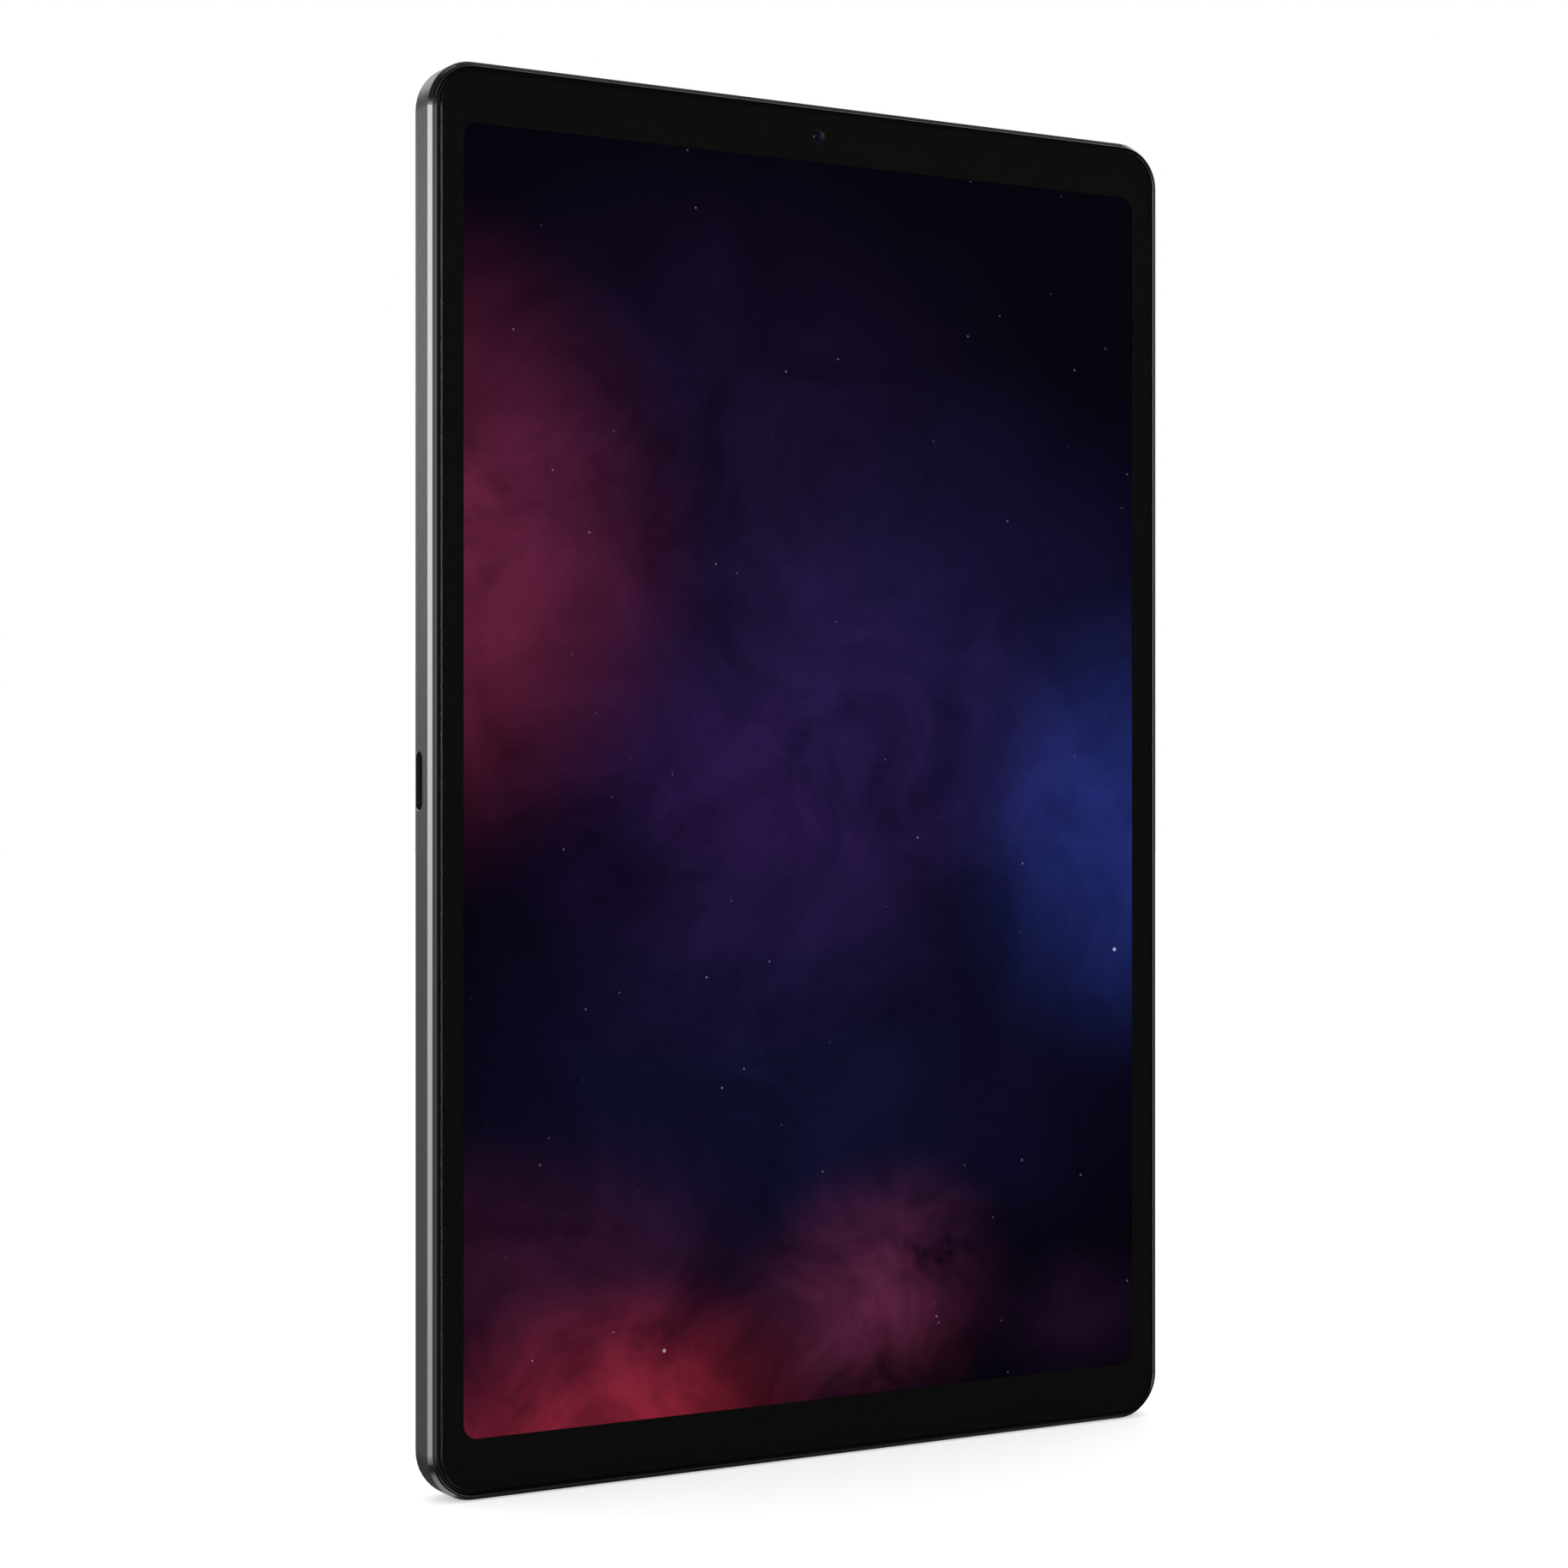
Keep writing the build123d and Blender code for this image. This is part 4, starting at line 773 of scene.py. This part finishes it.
def by_turn(tree, level_direction, turn, full, end):
    """How much a compass direction belongs to a part of the studio."""
    angle = math.radians(turn)
    toward = add(tree, "ShaderNodeVectorMath", {0: level_direction, 1: (math.sin(angle), math.cos(angle), 0)},
                 operation="DOT_PRODUCT")
    return add(tree, "ShaderNodeMapRange",
               {"Value": toward.outputs["Value"], "From Min": math.cos(math.radians(end)),
                "From Max": math.cos(math.radians(full))}, interpolation_type="SMOOTHSTEP")


def set_world(scene):
    """White background and even light; shiny surfaces see softboxes and a dark side."""
    world = bpy.data.worlds.new("studio")
    scene.world = world
    world.use_nodes = True
    tree = world.node_tree
    tree.nodes.clear()
    # The light differs by kind of ray, so it isn't sampled as a lamp.
    world.cycles.sampling_method = "NONE"
    direction = add(tree, "ShaderNodeTexCoord").outputs["Generated"]
    parts = add(tree, "ShaderNodeSeparateXYZ", {0: direction})
    flat = add(tree, "ShaderNodeCombineXYZ", {0: parts.outputs["X"], 1: parts.outputs["Y"]})
    level = add(tree, "ShaderNodeVectorMath", {0: flat}, operation="NORMALIZE")
    total = by_height(tree, parts.outputs["Z"], ROOM_HEIGHTS)
    dark = by_turn(tree, level, DARK_TURN, DARK_FULL, DARK_END)
    keep = add(tree, "ShaderNodeMapRange", {"Value": dark, "To Min": 1.0, "To Max": DARK_LEFT})
    total = add(tree, "ShaderNodeMath", {0: total, 1: keep}, operation="MULTIPLY")
    for box in SOFTBOXES:
        heights = by_height(tree, parts.outputs["Z"], box.heights)
        side = by_turn(tree, level, box.turn, box.full, box.end)
        shape = add(tree, "ShaderNodeMath", {0: side, 1: heights}, operation="MULTIPLY")
        total = add(tree, "ShaderNodeMath", {0: shape, 1: box.strength, 2: total}, operation="MULTIPLY_ADD")
    glossy = add(tree, "ShaderNodeLightPath").outputs["Is Glossy Ray"]
    strength = add(tree, "ShaderNodeMix", {"Factor": glossy, "A": 1.0, "B": total}, data_type="FLOAT")
    light = add(tree, "ShaderNodeBackground", {"Color": (1.0, 1.0, 1.0), "Strength": strength})
    out = add(tree, "ShaderNodeOutputWorld")
    tree.links.new(light.outputs[0], out.inputs["Surface"])


def make_floor():
    """Round pale floor, which shiny surfaces don't see."""
    made, tree, out = new_material("painted_studio_floor")
    place = add(tree, "ShaderNodeTexCoord").outputs["Object"]
    roller = add(tree, "ShaderNodeTexNoise", {"Vector": place, "Scale": 1 / (4 * MM), "Detail": 2.0})
    paint = add(tree, "ShaderNodeMix", {"Factor": roller, "A": (0.78, 0.78, 0.78), "B": (0.8, 0.8, 0.8)},
                data_type="RGBA")
    matt = add(tree, "ShaderNodeBsdfDiffuse", {"Color": paint})
    lift = add(tree, "ShaderNodeEmission", {"Color": (1.0, 1.0, 1.0), "Strength": FLOOR_GLOW})
    both = add(tree, "ShaderNodeAddShader", {0: matt, 1: lift})
    tree.links.new(both.outputs[0], out.inputs["Surface"])
    bm = bmesh.new()
    bmesh.ops.create_circle(bm, cap_ends=True, segments=96, radius=FLOOR_RADIUS)
    mesh = bpy.data.meshes.new("studio_floor")
    bm.to_mesh(mesh)
    bm.free()
    mesh.materials.append(made)
    floor = bpy.data.objects.new("studio_floor", mesh)
    floor.location.z = CAD_LOW.z - FLOOR_GAP
    bpy.context.scene.collection.objects.link(floor)
    floor.visible_glossy = False


def make_camera(stage):
    """Level camera in front of the tablet's left side."""
    data = bpy.data.cameras.new("camera")
    data.lens = stage.lens
    data.sensor_width = SENSOR_WIDTH
    data.shift_y = LENS_SHIFT
    data.clip_start, data.clip_end = CLIP_NEAR, CLIP_FAR
    camera = bpy.data.objects.new("camera", data)
    camera.location = (-stage.side, GLASS_FRONT - stage.distance, MIDDLE_Z)
    camera.rotation_euler = (math.radians(90), 0.0, -stage.yaw)
    bpy.context.scene.collection.objects.link(camera)
    bpy.context.scene.camera = camera


def make_overhead_light():
    """One broad soft lamp above, for the matt surfaces."""
    data = bpy.data.lights.new("overhead_softbox", "AREA")
    data.shape = "SQUARE"
    data.size = LAMP_SIZE
    data.energy = LAMP_POWER
    lamp = bpy.data.objects.new("overhead_softbox", data)
    lamp.location = LAMP_PLACE
    lamp.rotation_euler = [math.radians(turn) for turn in LAMP_TILT]
    lamp.visible_glossy = False
    bpy.context.scene.collection.objects.link(lamp)


# ---------------- operators ----------------

class TABLET_OT_finish_body(bpy.types.Operator):
    """Gives the aluminium body, camera island and keys their finishes"""
    bl_idname = "tablet.finish_body"
    bl_label = "Finish Body"

    def execute(self, context):
        finish_body(context.scene.tablet_finish)
        return {"FINISHED"}


class TABLET_OT_finish_front(bpy.types.Operator):
    """Gives the cover glass, border print, adhesive and ring their finishes"""
    bl_idname = "tablet.finish_front"
    bl_label = "Finish Front"

    def execute(self, context):
        finish_front(context.scene.tablet_finish)
        return {"FINISHED"}


class TABLET_OT_light_display(bpy.types.Operator):
    """Lights the display with its picture"""
    bl_idname = "tablet.light_display"
    bl_label = "Light Display"

    def execute(self, context):
        light_display(context.scene.tablet_picture)
        return {"FINISHED"}


class TABLET_OT_finish_inside(bpy.types.Operator):
    """Gives every part inside its finish"""
    bl_idname = "tablet.finish_inside"
    bl_label = "Finish Inside"

    def execute(self, context):
        finish_inside()
        return {"FINISHED"}


class TABLET_OT_make_front_camera(bpy.types.Operator):
    """Builds the front camera behind its window in the border print"""
    bl_idname = "tablet.make_front_camera"
    bl_label = "Make Front Camera"

    def execute(self, context):
        make_front_camera()
        return {"FINISHED"}


class TABLET_OT_make_rear_lenses(bpy.types.Operator):
    """Builds the rear lenses and masks and finishes their rings, windows and flash"""
    bl_idname = "tablet.make_rear_lenses"
    bl_label = "Make Rear Lenses"

    def execute(self, context):
        make_rear_lenses(context.scene.tablet_finish)
        return {"FINISHED"}


class TABLET_OT_make_port_contacts(bpy.types.Operator):
    """Builds the gold contact strips inside both ports"""
    bl_idname = "tablet.make_port_contacts"
    bl_label = "Make Port Contacts"

    def execute(self, context):
        make_port_contacts()
        return {"FINISHED"}


class TABLET_OT_set_stage(bpy.types.Operator):
    """Builds the studio: floor, soft light and camera"""
    bl_idname = "tablet.set_stage"
    bl_label = "Set Stage"

    def execute(self, context):
        context.scene.view_settings.view_transform = "Standard"
        set_world(context.scene)
        make_floor()
        make_overhead_light()
        make_camera(context.scene.tablet_stage)
        return {"FINISHED"}


STEPS = (TABLET_OT_finish_inside, TABLET_OT_finish_body, TABLET_OT_finish_front, TABLET_OT_light_display,
         TABLET_OT_make_front_camera, TABLET_OT_make_rear_lenses, TABLET_OT_make_port_contacts,
         TABLET_OT_set_stage)


class TABLET_PT_steps(bpy.types.Panel):
    """Settings and steps of the tablet's looks"""
    bl_idname = "TABLET_PT_steps"
    bl_label = "Tablet Finishes"
    bl_space_type = "VIEW_3D"
    bl_region_type = "UI"
    bl_category = "Tablet"

    def draw(self, context):
        for group in (context.scene.tablet_finish, context.scene.tablet_picture, context.scene.tablet_stage):
            box = self.layout.box()
            for name in group.__annotations__:
                box.prop(group, name)
        for step in STEPS:
            self.layout.operator(step.bl_idname)


GROUPS = {"tablet_finish": TabletFinishSettings, "tablet_picture": TabletPictureSettings,
          "tablet_stage": TabletStageSettings}


def register():
    for made in (*GROUPS.values(), *STEPS, TABLET_PT_steps):
        bpy.utils.register_class(made)
    for name, group in GROUPS.items():
        setattr(bpy.types.Scene, name, PointerProperty(type=group))


def unregister():
    for name in GROUPS:
        delattr(bpy.types.Scene, name)
    for made in reversed((*GROUPS.values(), *STEPS, TABLET_PT_steps)):
        bpy.utils.unregister_class(made)


def main():
    register()
    for step in STEPS:
        getattr(bpy.ops.tablet, step.bl_idname.split(".")[1])()


if __name__ == "__main__":
    main()
